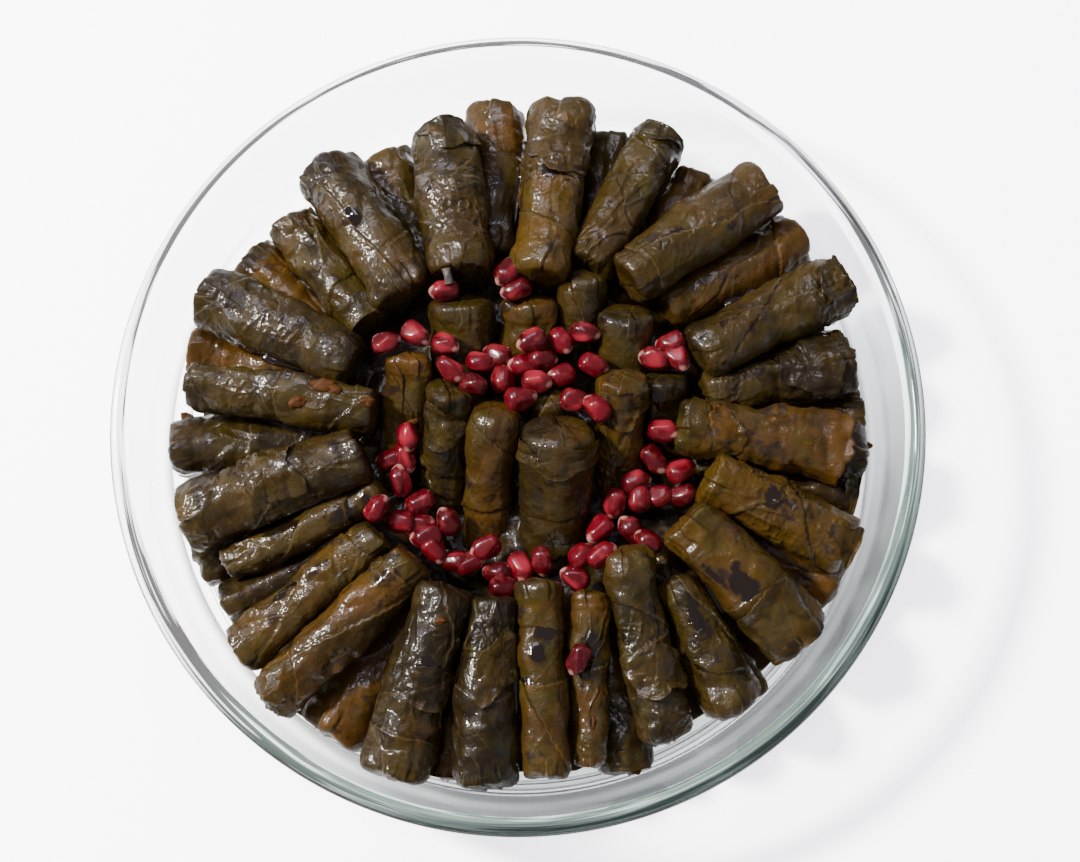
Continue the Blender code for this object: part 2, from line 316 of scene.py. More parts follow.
def vine_veins(s, q, stalk, heading, pitch):
    """Distances from the five main veins and places along the side veins. Each spot
    belongs to the main vein that is nearest in angle. The sign of the distance swaps
    from one vein to the next, so that it runs smoothly from vein to vein."""
    x, y = s - stalk[0], q - stalk[1]
    angle = np.arctan2(y, x) - heading
    angle = (angle + np.pi) % (2 * np.pi) - np.pi
    nearest = np.abs(angle[..., None] - VEIN_FAN).argmin(axis=-1)
    swing = angle - VEIN_FAN[nearest]
    away = np.hypot(x, y)
    across = away * np.sin(swing)
    ahead = away * np.cos(swing)
    bow = across - VEIN_BOW * ahead**2 * np.sign(VEIN_FAN[nearest])
    main = bow * np.where(nearest % 2 == 0, 1, -1)
    side = (ahead - np.abs(across) / math.tan(SIDE_VEIN_SLOPE)) / pitch
    return main, side


print("vein fan:", VEIN_FAN.round(2), "tooth", TOOTH, "mm")

# %% [markdown]
# How each roll was wrapped shows in the photograph, so the clearest margins are listed.
# A spot is given by its share of the way from the outer end to the inner end, and
# by its angle from the top of the roll. Rolls with no row here get margins at random.

# %% Leaf margins on each roll
# share, angle, facing
MARGINS = {
    "upper_roll_01": [(0.46, 0, 12), (0.42, 30, 172), (0.70, -20, 20)],
    "upper_roll_02": [(0.30, -40, -60), (0.62, 30, 20), (0.84, 0, 185)],
    "upper_roll_03": [(0.38, 30, 80), (0.72, -10, -30)],
    "upper_roll_04": [(0.35, -25, -70), (0.66, 10, 160)],
    "upper_roll_05": [(0.86, 0, 184), (0.45, -30, -50), (0.22, 0, 20)],
    "upper_roll_06": [(0.52, 10, -10), (0.80, 0, 20), (0.16, 20, 160)],
    "upper_roll_07": [(0.55, -15, 40), (0.63, 20, -30)],
    "upper_roll_08": [(0.50, 0, 60), (0.75, 10, 190)],
    "upper_roll_09": [(0.42, 0, 70), (0.78, 0, 170)],
    "upper_roll_10": [(0.55, 20, 110), (0.26, 0, 30), (0.82, 0, 180)],
    "upper_roll_11": [(0.46, 0, 150), (0.70, 25, 70), (0.30, -20, 190)],
    "upper_roll_12": [(0.50, 0, 182), (0.78, -35, -80)],
    "upper_roll_13": [(0.50, 0, 176), (0.72, 0, 8), (0.26, 30, 60)],
    "upper_roll_14": [(0.56, 0, 172), (0.63, -10, 10)],
    "upper_roll_15": [(0.47, 0, 150), (0.34, 20, 205), (0.66, -20, 30)],
    "upper_roll_16": [(0.38, 0, 30), (0.60, 30, 70)],
    "upper_roll_17": [(0.44, 0, 200), (0.84, 0, 180)],
    "upper_roll_18": [(0.36, -20, -40), (0.60, 10, 30), (0.85, 0, 170)],
    "upper_roll_19": [(0.40, 0, 25), (0.52, 20, 60), (0.72, -20, -30)],
    "upper_roll_20": [(0.45, 0, -60), (0.80, 10, 200)],
    "upper_roll_21": [(0.28, 0, -80), (0.46, 30, 60), (0.88, 0, 182)],
    "upper_roll_22": [(0.55, 0, 70), (0.25, 10, 200)],
    "upper_roll_23": [(0.55, 0, -75), (0.30, 15, 20), (0.80, 0, 180)],
    "upper_roll_24": [(0.62, -20, 40), (0.22, 0, 190), (0.80, 20, 150)],
    "middle_roll_07": [(0.20, 25, 30), (0.60, -20, 165)],
    "middle_roll_08": [(0.52, 0, 182), (0.74, -25, 160)],
}
print("rolls with margins set by hand:", len(MARGINS))

# %% [markdown]
# Dark syrup ran over the rolls and stayed in their dips. The patches that show are
# listed too, each as a dome of syrup whose level may lie below the leaf, so that only
# the dips inside it fill.

# %% Syrup on each roll
# share, angle, then half length, half width and depth in millimetres
SYRUP = {
    "upper_roll_01": [(0.47, 5, 4.5, 6, 0.9), (0.50, -25, 5, 6, 0.5), (0.28, -45, 8, 4, 0.3)],
    "upper_roll_02": [(0.38, -30, 8, 4, 0.3), (0.55, -15, 10, 4, 0.3), (0.45, 40, 5, 3, 0.5)],
    "upper_roll_03": [(0.47, 10, 4.5, 3.0, 1.1), (0.35, -35, 12, 4, 0.3)],
    "upper_roll_05": [(0.62, -15, 6, 4, 0.35), (0.5, -45, 9, 4, 0.3)],
    "upper_roll_06": [(0.53, -35, 3, 3, 0.8), (0.66, -45, 14, 4, 0.6)],
    "upper_roll_07": [(0.58, -10, 3, 4, 0.8), (0.62, 30, 8, 5, 0.4)],
    "upper_roll_08": [(0.42, -20, 14, 5, 0.5), (0.70, 10, 10, 6, 0.6), (0.85, 0, 6, 6, 0.5)],
    "upper_roll_09": [(0.45, -35, 12, 4, 0.6), (0.60, -20, 9, 3, 0.5)],
    "upper_roll_10": [(0.78, 0, 6, 5, 0.5), (0.64, -40, 7, 4, 0.4)],
    "upper_roll_11": [(0.56, 10, 7, 6, 0.8), (0.44, 40, 9, 4, 0.4)],
    "upper_roll_12": [(0.70, -35, 13, 3.5, 0.35), (0.40, -30, 12, 4, 0.3)],
    "upper_roll_13": [(0.70, 10, 3, 6, 0.6), (0.62, -10, 3.5, 3, 1.0), (0.50, -40, 2.5, 3, 0.7)],
    "upper_roll_14": [(0.68, 0, 11, 5, 0.6), (0.30, 0, 4, 1.5, 0.5)],
    "upper_roll_15": [(0.62, 25, 5, 2.5, 0.7), (0.55, -35, 7, 3, 0.4)],
    "upper_roll_16": [(0.66, 0, 14, 5, 0.6), (0.40, -35, 8, 4, 0.4)],
    "upper_roll_17": [(0.52, -10, 12, 5, 0.8), (0.62, -35, 8, 4, 0.5)],
    "upper_roll_18": [(0.57, 12, 4.5, 5.0, 1.0), (0.45, 40, 7, 3, 0.3)],
    "upper_roll_19": [(0.35, -10, 8, 5, 0.6), (0.60, 35, 8, 4, 0.3)],
    "upper_roll_20": [(0.50, 20, 10, 5, 0.4)],
    "upper_roll_21": [(0.70, 25, 8, 4, 0.5), (0.40, 40, 10, 3, 0.3)],
    "upper_roll_22": [(0.5, 50, 14, 3, 0.4)],
    "upper_roll_23": [(0.62, 20, 7, 5, 0.5), (0.70, 10, 8, 5, 0.35), (0.40, -30, 6, 3, 0.5)],
    "upper_roll_24": [(0.58, 25, 9, 4, 0.3), (0.30, -30, 8, 5, 0.4)],
    "middle_roll_10": [(0.2, -10, 5, 5, 0.3)],
    "middle_roll_11": [(0.2, 10, 7, 5, 0.5)],
    "middle_roll_04": [(0.2, 40, 5, 5, 0.4)],
}
print("rolls with syrup set by hand:", len(SYRUP))

# %% [markdown]
# Some leaves are smooth and some badly crumpled, and their colour goes from nearly
# black over olive to golden brown. Both are judged for the rolls that show most.
# The others take the middle tone of their kind of leaf.

# %% Wrinkles and tones
# how dented and creased the leaf is, 1 where no number is given
WRINKLED = {
    "upper_roll_02": 1.7, "upper_roll_20": 1.6, "upper_roll_18": 1.3, "upper_roll_15": 1.3,
    "upper_roll_21": 1.7, "upper_roll_24": 1.5, "upper_roll_11": 1.3, "upper_roll_13": 0.55,
    "upper_roll_23": 0.8, "upper_roll_12": 1.3, "upper_roll_10": 1.6, "upper_roll_22": 0.6,
    "middle_roll_06": 1.4, "middle_roll_10": 1.3,
}
# 0 nearly black, 0.5 olive, 1 golden brown
TONES = {
    "upper_roll_01": 0.72, "upper_roll_02": 0.28, "upper_roll_03": 0.36, "upper_roll_04": 0.36,
    "upper_roll_05": 0.34, "upper_roll_06": 0.34, "upper_roll_07": 0.28, "upper_roll_08": 0.44,
    "upper_roll_09": 0.58, "upper_roll_10": 0.80, "upper_roll_11": 0.10, "upper_roll_12": 0.10,
    "upper_roll_13": 0.60, "upper_roll_14": 0.60, "upper_roll_15": 0.32, "upper_roll_16": 0.38,
    # upper_roll_20 is nearly black as painted shadow, from the roll beside it.
    "upper_roll_17": 0.78, "upper_roll_18": 0.96, "upper_roll_19": 0.12, "upper_roll_20": 0.00,
    "upper_roll_21": 0.52, "upper_roll_22": 1.00, "upper_roll_23": 0.34, "upper_roll_24": 0.36,
    "middle_roll_01": 0.84, "middle_roll_02": 0.86, "middle_roll_03": 0.40, "middle_roll_04": 0.46,
    "middle_roll_05": 0.50, "middle_roll_06": 0.40, "middle_roll_07": 1.00, "middle_roll_08": 0.18,
    "middle_roll_10": 0.62, "lower_roll_01": 0.45, "lower_roll_03": 0.45,
}
print("rolls with wrinkles or tones by eye:", len({*WRINKLED, *TONES}))

# %% [markdown]
# The relief of a leaf is a height over the smooth roll, the sum of what happened to the
# leaf. It is worked out on a grid over the skin, closer over the top of the roll than
# under it. Beside the height, marks are kept that the finish reads later: tone, syrup,
# veins and the way to the nearest margin. Each cell below adds one thing to them.

# %% The relief of a leaf
TOP_CROWDING = 0.36
STEP_FALL = 7.0
NO_MARGIN = 9.0
GOLDEN_SHARE = {"leaf_olive": 0.48, "leaf_dark": 0.24, "leaf_golden": 0.80}


class Relief:
    """Height over the smooth roll, in millimetres, and the marks for the finish."""

    def __init__(self, roll, count, around, seed):
        self.roll, self.seed = roll, seed
        self.random = np.random.default_rng(seed)
        share = np.linspace(0, 1, count + 2)[1:-1]
        turn = np.linspace(-1, 1, around, endpoint=False)
        turn = np.pi * turn * (1 - TOP_CROWDING + TOP_CROWDING * turn**2)
        self.s, self.turn = np.meshgrid(share * roll.reach, turn, indexing="ij")
        self.starts, self.directions = roll.rays(self.s, self.turn)
        self.smooth = blurred(roll.read(roll.soft, self.s, self.turn), 3)
        self.points = self.starts + self.directions * self.smooth[..., None]
        self.lean = self.directions @ roll.along
        self.spread = np.sqrt(np.clip(1 - self.lean**2, 0, 1))
        self.q = self.turn * roll.radius * self.spread
        self.near_end = 1 - ease(0.25 * roll.arc, 1.15 * roll.arc, np.minimum(self.s, roll.reach - self.s))
        self.wrinkled = WRINKLED.get(roll.name, 1.0)
        self.height = np.zeros_like(self.s)
        self.tone = np.full_like(self.s, TONES.get(roll.name, GOLDEN_SHARE[slot_of[roll.name]]))
        self.syrup = np.zeros_like(self.s)
        self.margin = np.full_like(self.s, NO_MARGIN)
        heading = self.random.uniform(-0.6, 0.6) + (math.pi if self.random.random() < 0.5 else 0)
        self.veins = vine_veins(self.s, self.q, self.spot(), heading, 8.5)

    def spot(self):
        """A spot on the side of the roll, where veins may meet without being seen."""
        share, turn = self.random.uniform(-0.2, 1.2), self.random.uniform(75, 120)
        return self.roll.place(share, turn * self.random.choice([-1, 1]))

    def noise(self, pitch, shift):
        """Smooth noise on the smooth roll's surface."""
        return soft_noise(self.points / pitch, self.seed + shift)

    def lay(self, distance, where, thick):
        """One layer of leaf: a step up at its margin that dies away behind it, and a
        faint groove in front of it."""
        behind = np.exp(-np.clip(distance, 0, None) / STEP_FALL)
        self.height += where * thick * behind * ease(-0.1, 0.35, distance)
        self.height -= where * 0.2 * np.exp(-((distance + 0.8) / 0.7) ** 2)
        self.tone += where * (distance > 0) * self.random.uniform(-0.20, 0.20)
        nearer = (np.abs(distance) < np.abs(self.margin)) & (where > 0.6)
        self.margin = np.where(nearer, distance, self.margin)

    def flood(self, level):
        """Syrup stands level wherever the leaf lies below it. The deeper, the darker."""
        wet = level - self.height
        ripple = 0.18 * self.noise(2.4, 75)
        self.height = np.where(wet > 0, level + ripple * ease(0, 0.3, wet), self.height)
        self.syrup = np.maximum(self.syrup, ease(0.0, 0.55, wet))

    def marks(self):
        """What the finish reads. The shade is noise at 13 and 4 mm, a hollow is a place
        below its surroundings, darkened later as painted shade, and main veins fade out near
        the ends of the roll."""
        shade = 0.30 * layered_noise(self.points / 13, self.seed + 80) + 0.14 * self.noise(4, 81)
        # Hollows are darkened later as painted shade.
        hollow = blurred(self.height, 5) - self.height
        main, side = self.veins
        main = main + 3 * np.sign(main) * ease(0.2, 0.8, self.near_end)
        return {
            "tone": np.clip(self.tone + shade, 0, 1), "hollow": np.clip(hollow, -1, 1),
            "syrup": self.syrup, "main_vein": main, "side_vein": side, "margin": self.margin,
        }


trial = Relief(rolls["upper_roll_01"], 60, 40, 1)
print("a trial grid of", trial.s.shape, "over a roll", round(trial.roll.reach, 1), "mm round its ends")

# %% [markdown]
# First come the dents and creases. A leaf that was pressed and cooked is broken into
# facets: noise without its sign has sharp valleys, and taken away it has sharp ridges.
# Creases are the same ridges on places that were stretched, along the roll or across it.

# %% Dents and creases
BROAD_DENTS = (19, 0.9)
# pitch in millimetres, weight, shift of the seed
FACETS = ((15, 1.4, 18), (9, 0.85, 20), (5.2, 0.28, 22), (3.0, 0.10, 24))
# stretch, weight, shift of the seed
CREASES = ((0.24, 0.62, 0), (2.6, 0.54, 40))
CREASE_PITCH = 3.6
CREASE_SHARPNESS = 2.8
CRUMPLE_PITCH, CRUMPLE_WEIGHT = 2.1, 0.10


def add_dents(relief):
    """Broad noise, then facets: the noise without its sign, less another such noise."""
    pitch, weight = BROAD_DENTS
    relief.height += weight * layered_noise(relief.points / pitch, relief.seed, 2)
    for pitch, weight, shift in FACETS:
        valleys = np.abs(relief.noise(pitch, shift))
        crests = np.abs(relief.noise(pitch, shift + 1))
        relief.height += weight * relief.wrinkled**0.5 * (valleys - crests)


def add_creases(relief):
    """A high power of one less twice the noise's distance from zero, which leaves a
    narrow ridge along its zero line. Each kind lies in its own patches. Fine crumpling
    at 2 mm is added everywhere."""
    lie = relief.random.uniform(-0.5, 0.5)
    for stretch, weight, shift in CREASES:
        along, round_it = relief.s + lie * relief.q, relief.q - lie * relief.s
        along = along / CREASE_PITCH * stretch
        flat = np.stack([along, round_it / CREASE_PITCH, np.full_like(along, shift)], axis=-1)
        bend = 0.55 * relief.noise(7, 30 + shift)[..., None]
        ridge = 1 - 2 * np.abs(soft_noise(flat + bend, relief.seed + 31 + shift))
        fold = np.clip(ridge, 0, 1) ** CREASE_SHARPNESS
        where = ease(-0.1, 0.6, relief.noise(13, 32 + shift))
        relief.height += weight * relief.wrinkled * fold * where
    fine = layered_noise(relief.points / CRUMPLE_PITCH, relief.seed + 50, 2)
    relief.height += CRUMPLE_WEIGHT * relief.wrinkled * fine


add_dents(trial)
print("dents from", trial.height.min().round(2), "to", trial.height.max().round(2), "mm")
add_creases(trial)
print("with creases from", trial.height.min().round(2), "to", trial.height.max().round(2), "mm")

# %% [markdown]
# Each end of a roll is closed like a parcel: the sides of the leaf are folded in over
# it before it is rolled up. So flaps come over the end from several sides, and each
# stops at a nearly straight margin.

# %% Folded ends
FLAPS = 3
FLAP_THICKNESS = 0.7


def add_folded_ends(relief):
    """A flap's distance is measured across the end, in the plane at right angles to
    the roll: how far a place lies to the flap's side, plus a wave."""
    roll = relief.roll
    across, above = relief.directions @ roll.side, relief.directions @ roll.up
    for way in (roll.arc - relief.s, relief.s - roll.arc - roll.straight):
        on_end = ease(-2.0, 3.5, way)
        for number in range(FLAPS):
            side = math.pi / 2 + (number - 1) * 1.1 + relief.random.uniform(-0.4, 0.4)
            reach = roll.radius * (across * math.cos(side) + above * math.sin(side))
            wave = 1.5 * relief.noise(5.5, 60 + number)
            distance = reach - relief.random.uniform(-0.25, 0.30) * roll.radius + wave
            relief.lay(distance, on_end, FLAP_THICKNESS)
    relief.height += 0.8 * relief.noise(5.0, 66) * relief.near_end


add_folded_ends(trial)
print("share of the trial roll with a margin near:", (np.abs(trial.margin) < 2).mean().round(2))

# %% [markdown]
# A roll is wrapped in more than one leaf. Where the next one starts there is a step,
# and behind it the leaf has its own shade and veins. Syrup comes after the leaves, and
# the thin raised veins last, because thick syrup covers them.

# %% Leaves, syrup and veins on a roll
STEP = 0.55
SEEP_DEPTH = 0.62


def guessed_margins(random):
    """Two margins anywhere on the roll: share, angle and facing."""
    return [(random.uniform(0.3, 0.7), random.uniform(-40, 40), random.uniform(0, 360)) for _ in range(2)]


def add_leaf(relief, share, turn, facing):
    """A leaf laid over the last, inside the distance from its margin."""
    number = int(relief.random.integers(1, 900))
    place = relief.roll.place(share, turn)
    distance = margin_distance(relief.s, relief.q, place, facing, number)
    flat = np.stack([distance * 0, relief.s / 9, relief.q / 9], axis=-1)
    relief.lay(distance, 1.0, STEP * (1 + 0.7 * soft_noise(flat, number + 5)))
    heading = relief.random.uniform(-math.pi, math.pi)
    new = vine_veins(relief.s, relief.q, relief.spot(), heading, relief.random.uniform(7, 10))
    relief.veins = [np.where(distance > 0, n, o) for n, o in zip(new, relief.veins)]


def add_syrup(relief, share, turn, long, wide, deep):
    """A drop or a patch of syrup: over an ellipse with an uneven rim, the level rises
    from below the leaf at the rim to its full depth in the middle."""
    middle = relief.roll.place(share, turn)
    away = np.hypot((relief.s - middle[0]) / long, (relief.q - middle[1]) / wide)
    dome = np.clip(1 - (away + 0.35 * relief.noise(4, 70)) ** 2, -4, 1)
    relief.flood(blurred(relief.height, 8) + deep * dome - 0.12)


def add_seeped_syrup(relief):
    """A little syrup stays in every crease that is deep enough."""
    relief.flood(blurred(relief.height, 10) - SEEP_DEPTH)


def ridge_height(distance, width):
    """The bell curve of the distance over the width."""
    return np.exp(-((distance / width) ** 2))


def add_veins(relief):
    """A bell-shaped ridge over each vein, cut off where syrup covers it."""
    main, side = relief.veins
    from_side = np.abs((side + 0.5) % 1 - 0.5) * 8
    raised = 0.14 * ridge_height(main, 0.5) + 0.05 * ridge_height(from_side, 0.5)
    relief.height += raised * (1 - relief.syrup)


for row in MARGINS[trial.roll.name]:
    add_leaf(trial, *row)
add_seeped_syrup(trial)
add_veins(trial)
print("share of the trial roll with syrup in its creases:", (trial.syrup > 0.5).mean().round(3))

# %% [markdown]
# Now the rolls themselves. The relief is added along each ray, and the ends are squared
# a little, as a folded parcel's are. Near the neighbours the skin is held back, so that
# pressed rolls touch without passing far into each other.

# %% Wrap a roll
GRID = {"upper": (150, 132), "middle": (118, 104), "lower": (92, 84)}
TOP_FREE, SIDE_PRESSED = math.radians(50), math.radians(85)
FREE_LIFT = {"upper": 1.2, "middle": 0.8, "lower": 1.2}
END_LIFT = {"upper": 0.9, "middle": 0.0, "lower": 0.9}
PRESSED_LIFT = 0.5
PRESSED_IN = 0.5
LIMIT_ROUNDING = 0.4
SQUARED = 0.6


def squared_ends(relief):
    """The same roll with flat ends: over each end the distance is the shorter of the
    way to the side, r / cos(lean), and to the flat end, h / sin(lean). The two are
    blended by their tenth powers, which rounds the corner a little."""
    roll, smooth, lean = relief.roll, relief.smooth, relief.lean
    first, last = np.searchsorted(relief.s[:, 0], [roll.arc, roll.reach - roll.arc])
    side = np.where(lean < 0, smooth[first], smooth[last - 1]) / np.maximum(relief.spread, 0.02)
    flat = np.where(lean < 0, smooth[0].mean(), smooth[-1].mean()) / np.maximum(np.abs(lean), 0.02)
    box = ((side / 20) ** -10.0 + (flat / 20) ** -10.0) ** -0.1 * 20
    return np.where(np.abs(lean) > 1e-6, np.maximum(box, smooth), smooth)


def skin_distance(relief, layer):
    """Smooth distance, relief and squared ends. A soft limit keeps their sum under the
    plain solid's face plus a lift, which is larger where the roll is free."""
    roll, seed = relief.roll, relief.seed
    free = 1 - ease(TOP_FREE, SIDE_PRESSED, np.abs(relief.turn))
    on_end = ease(0.0, 0.25, np.abs(relief.lean))
    squared = SQUARED + 0.35 * np.random.default_rng(seed + 7).uniform(-1, 1)
    uneven = np.clip(squared + 0.9 * relief.noise(8, 90), 0, 1)
    corner = uneven * (squared_ends(relief) - relief.smooth)
    plain = roll.read(roll.plain, relief.s, relief.turn)
    limit = plain + PRESSED_LIFT + FREE_LIFT[layer] * free + END_LIFT[layer] * on_end
    grown = relief.smooth + relief.height - PRESSED_IN * np.maximum(1 - free, on_end) + corner
    over = grown - limit + LIMIT_ROUNDING
    rounded = limit - LIMIT_ROUNDING * np.exp(-over / LIMIT_ROUNDING)
    return np.where(grown > limit - LIMIT_ROUNDING, rounded, grown)


def wrapped_roll(roll, seed):
    """Points of the finished skin: start + direction * distance. The skin is kept on
    the roll, so that loose leaves, bits and a stalk can be laid on it later."""
    layer = roll.name.split("_")[0]
    relief = Relief(roll, *GRID[layer], seed)
    add_dents(relief)
    add_creases(relief)
    add_folded_ends(relief)
    for row in MARGINS.get(roll.name) or guessed_margins(relief.random):
        add_leaf(relief, *row)
    for row in SYRUP.get(roll.name, []):
        add_syrup(relief, *row)
    add_seeped_syrup(relief)
    add_veins(relief)
    grown = skin_distance(relief, layer)
    turn = relief.turn[0]
    roll.skin = relief.s[:, 0], np.concatenate([turn, turn[:1] + 2 * np.pi]), grown
    points = relief.starts + relief.directions * grown[..., None]
    skin = np.concatenate([points[0].mean(0)[None], points.reshape(-1, 3), points[-1].mean(0)[None]])
    marks = {}
    for mark, field in relief.marks().items():
        marks[mark] = np.concatenate([[field[0].mean()], field.ravel(), [field[-1].mean()]])
    return shell("leaf_" + roll.name, skin, *tube_faces(*grown.shape), marks)


counts = [2 + rows * columns for rows, columns in GRID.values()]
print("points on an upper, a middle and a lower roll:", counts)

# %% [markdown]
# A finish is a small network of nodes. This helper keeps each one to a line: it makes a
# node, sets it and wires whatever it is given, be it a number or another node's output.

# %% A helper for finishes


class Finish:
    """A material under construction, on the Principled shader."""

    def __init__(self, name, **constants):
        self.material = bpy.data.materials.new(name)
        self.material.use_nodes = True
        self.tree = self.material.node_tree
        self.shader = self.tree.nodes["Principled BSDF"]
        self.object_places = self.add("TexCoord").outputs["Object"]
        for words, value in constants.items():
            socket = words.replace("_", " ").title().replace("Ior", "IOR")
            self.shader.inputs[socket].default_value = value

    def add(self, kind, inputs=(), **settings):
        """A new node with its settings made and its inputs wired."""
        node = self.tree.nodes.new("ShaderNode" + kind)
        for name, value in settings.items():
            setattr(node, name, value)
        for socket, value in dict(inputs).items():
            self.wire(node.inputs[socket], value)
        return node

    def wire(self, socket, value):
        """Links a node's output to the socket, or sets a plain number on it."""
        if isinstance(value, bpy.types.NodeSocket):
            self.tree.links.new(value, socket)
        else:
            socket.default_value = value

    def set(self, socket, value):
        """Wires or sets one of the shader's own inputs."""
        self.wire(self.shader.inputs[socket], value)

    def mark(self, name):
        """A number that the mesh carries at every point."""
        return self.add("Attribute", attribute_name=name).outputs["Fac"]

    def noise(self, pitch_mm, detail=2.0, roughness=0.5):
        """Noise over the piece's own places, from 0 to 1, by its pitch."""
        inputs = {"Vector": self.object_places, "Scale": 1 / (pitch_mm * MM)}
        inputs.update({"Detail": detail, "Roughness": roughness})
        return self.add("TexNoise", inputs).outputs["Fac"]

    def maths(self, operation, first, second=0.0):
        """One step of arithmetic on one or two numbers."""
        return self.add("Math", {0: first, 1: second}, operation=operation).outputs[0]

    def times(self, *factors):
        """The product of all factors."""
        product = factors[0]
        for factor in factors[1:]:
            product = self.maths("MULTIPLY", product, factor)
        return product

    def slope(self, value, low, high, to_low=0.0, to_high=1.0):
        """The smooth step of a value between low and high, as a number in a range."""
        inputs = {0: value, 1: low, 2: high, 3: to_low, 4: to_high}
        return self.add("MapRange", inputs, interpolation_type="SMOOTHSTEP").outputs[0]

    def mix(self, share, first, second):
        """A colour between two. A colour of three numbers gets a fourth, 1."""
        first, second = (c if isinstance(c, bpy.types.NodeSocket) else (*c, 1) for c in (first, second))
        return self.add("Mix", {0: share, 6: first, 7: second}, data_type="RGBA").outputs[2]

    def mix_number(self, share, first, second):
        """A number between two."""
        return self.add("Mix", {0: share, 2: first, 3: second}).outputs[0]

    def bump(self, height, distance_mm, strength=1.0):
        """A normal that leans as if the height, times a distance, stood on the face."""
        inputs = {"Height": height, "Distance": distance_mm * MM, "Strength": strength}
        return self.add("Bump", inputs).outputs["Normal"]


print("a finish is built with:", ", ".join(word for word in vars(Finish) if not word.startswith("_")))

# %% [markdown]
# A cooked vine leaf is dark olive to golden brown, thin enough for the layer below to
# show through, and wet. Its colour comes from the tone mark, mottled by noise at 3 mm,
# with broad brown, green and plum stains. Veins are paler than the leaf. Hollows and
# the line at the foot of a margin step are darkened as painted shade, and syrup hides
# everything under it.

# %% The colours of a leaf
DEEP_LEAF = (0.021, 0.0135, 0.0045)
OLIVE_LEAF = (0.051, 0.0320, 0.0042)
GOLDEN_LEAF = (0.108, 0.047, 0.0050)
BROWN_LEAF = (0.062, 0.029, 0.0070)
GREEN_LEAF = (0.070, 0.053, 0.0070)
PLUM_STAIN = (0.018, 0.0095, 0.0095)
VEIN_COLOUR = (0.15, 0.095, 0.022)
SYRUP_COLOUR = (0.0085, 0.0042, 0.0030)


def stained_colour(finish, tint):
    """From deep to olive by the lower half of the tone and on to the tint by the upper
    half, then stains. A nearly black leaf takes little of the brown and the green."""
    mottle = finish.slope(finish.noise(3.2, 4, 0.62), 0.3, 0.7, -0.13, 0.13)
    tone = finish.maths("ADD", finish.mark("tone"), mottle)
    colour = finish.mix(finish.slope(tone, 0.0, 0.5), DEEP_LEAF, OLIVE_LEAF)
    colour = finish.mix(finish.slope(tone, 0.45, 1.0), colour, tint)
    not_dark = finish.slope(tone, 0.0, 0.5, 0.2, 1.0)
    browner = finish.slope(finish.noise(24, 2), 0.42, 0.62, 0, 0.50)
    colour = finish.mix(finish.times(browner, not_dark), colour, BROWN_LEAF)
    greener = finish.slope(finish.noise(13, 2), 0.50, 0.66, 0, 0.42)
    colour = finish.mix(finish.times(greener, not_dark), colour, GREEN_LEAF)
    plum = finish.slope(finish.noise(10.5, 3, 0.6), 0.60, 0.67, 0, 0.75)
    colour = finish.mix(plum, colour, PLUM_STAIN)
    specks = finish.slope(finish.noise(0.9, 2), 0.62, 0.75)
    return finish.mix(finish.times(specks, 0.25), colour, GOLDEN_LEAF)


def veined_colour(finish, colour):
    """A pale line within 0.36 mm of a main vein and at each side vein, in patches, and
    one on the rim of a margin. Hollows and the foot of a margin go towards deep as
    painted shade."""
    main = finish.slope(finish.maths("ABSOLUTE", finish.mark("main_vein")), 0.08, 0.36, 1, 0)
    side = finish.maths("PINGPONG", finish.mark("side_vein"), 0.5)
    vein = finish.maths("MAXIMUM", main, finish.slope(side, 0.01, 0.045, 0.55, 0))
    patchy = finish.slope(finish.noise(8, 2), 0.42, 0.66, 0.03, 0.8)
    colour = finish.mix(finish.times(vein, patchy, 0.45), colour, VEIN_COLOUR)
    margin = finish.mark("margin")
    rim = finish.times(finish.slope(margin, 0.0, 0.12), finish.slope(margin, 0.35, 0.7, 1, 0))
    colour = finish.mix(finish.times(rim, 0.30), colour, VEIN_COLOUR)
    # The foot of a margin step and the hollows go towards deep as painted shade.
    margin_foot_shade = finish.times(finish.slope(margin, -1.3, -0.1), finish.slope(margin, 0.0, 0.15, 1, 0))
    hollow = finish.slope(finish.mark("hollow"), 0.02, 0.45, 0, 0.6)
    return finish.mix(finish.maths("MAXIMUM", hollow, finish.times(margin_foot_shade, 0.55)), colour, DEEP_LEAF)


print("a deep leaf is", round(OLIVE_LEAF[0] / DEEP_LEAF[0], 1), "times darker than an olive one")

# %% [markdown]
# The leaf itself is dull, and the film of oil and juice over it is smooth and bright.
# So the film is a coat with its own smoother normal: highlights stay sharp while the
# leaf looks leathery. Where syrup stands, the bumps of both fade out.

# %% Wet leaf finishes


def leaf_finish(name, tint, wet=1.0):
    """Colour, roughness and coat, each going over to syrup's by the syrup mark. wet is
    how much of the film of oil the leaf carries."""
    finish = Finish(name, specular_ior_level=0.16, coat_ior=1.5)
    syrup = finish.mark("syrup")
    colour = veined_colour(finish, stained_colour(finish, tint))
    finish.set("Base Color", finish.mix(finish.slope(syrup, 0.2, 0.9, 0, 0.93), colour, SYRUP_COLOUR))
    dull = finish.slope(finish.noise(7, 3), 0.3, 0.7, 0.30, 0.46)
    finish.set("Roughness", finish.mix_number(syrup, dull, 0.08))
    oiled = finish.slope(finish.noise(9, 3), 0.38, 0.64, 0.14 * wet, 0.95 * wet)
    finish.set("Coat Weight", finish.mix_number(syrup, oiled, 1.0))
    finish.set("Coat Roughness", finish.mix_number(syrup, 0.055, 0.02))
    bare = finish.slope(syrup, 0.1, 0.8, 1, 0.12)
    crumpled = finish.maths("ABSOLUTE", finish.maths("SUBTRACT", finish.noise(4.5, 3, 0.6), 0.5))
    crumpled = finish.times(crumpled, 5.0)
    grain = finish.maths("ADD", finish.noise(0.55, 3, 0.6), crumpled)
    finish.set("Normal", finish.bump(finish.times(grain, bare), 0.17, 0.8))
    film = finish.maths("ADD", finish.times(finish.noise(1.3, 2), 0.9), crumpled)
    finish.set("Coat Normal", finish.bump(finish.times(film, bare), 0.19, 0.8))
    return finish.material


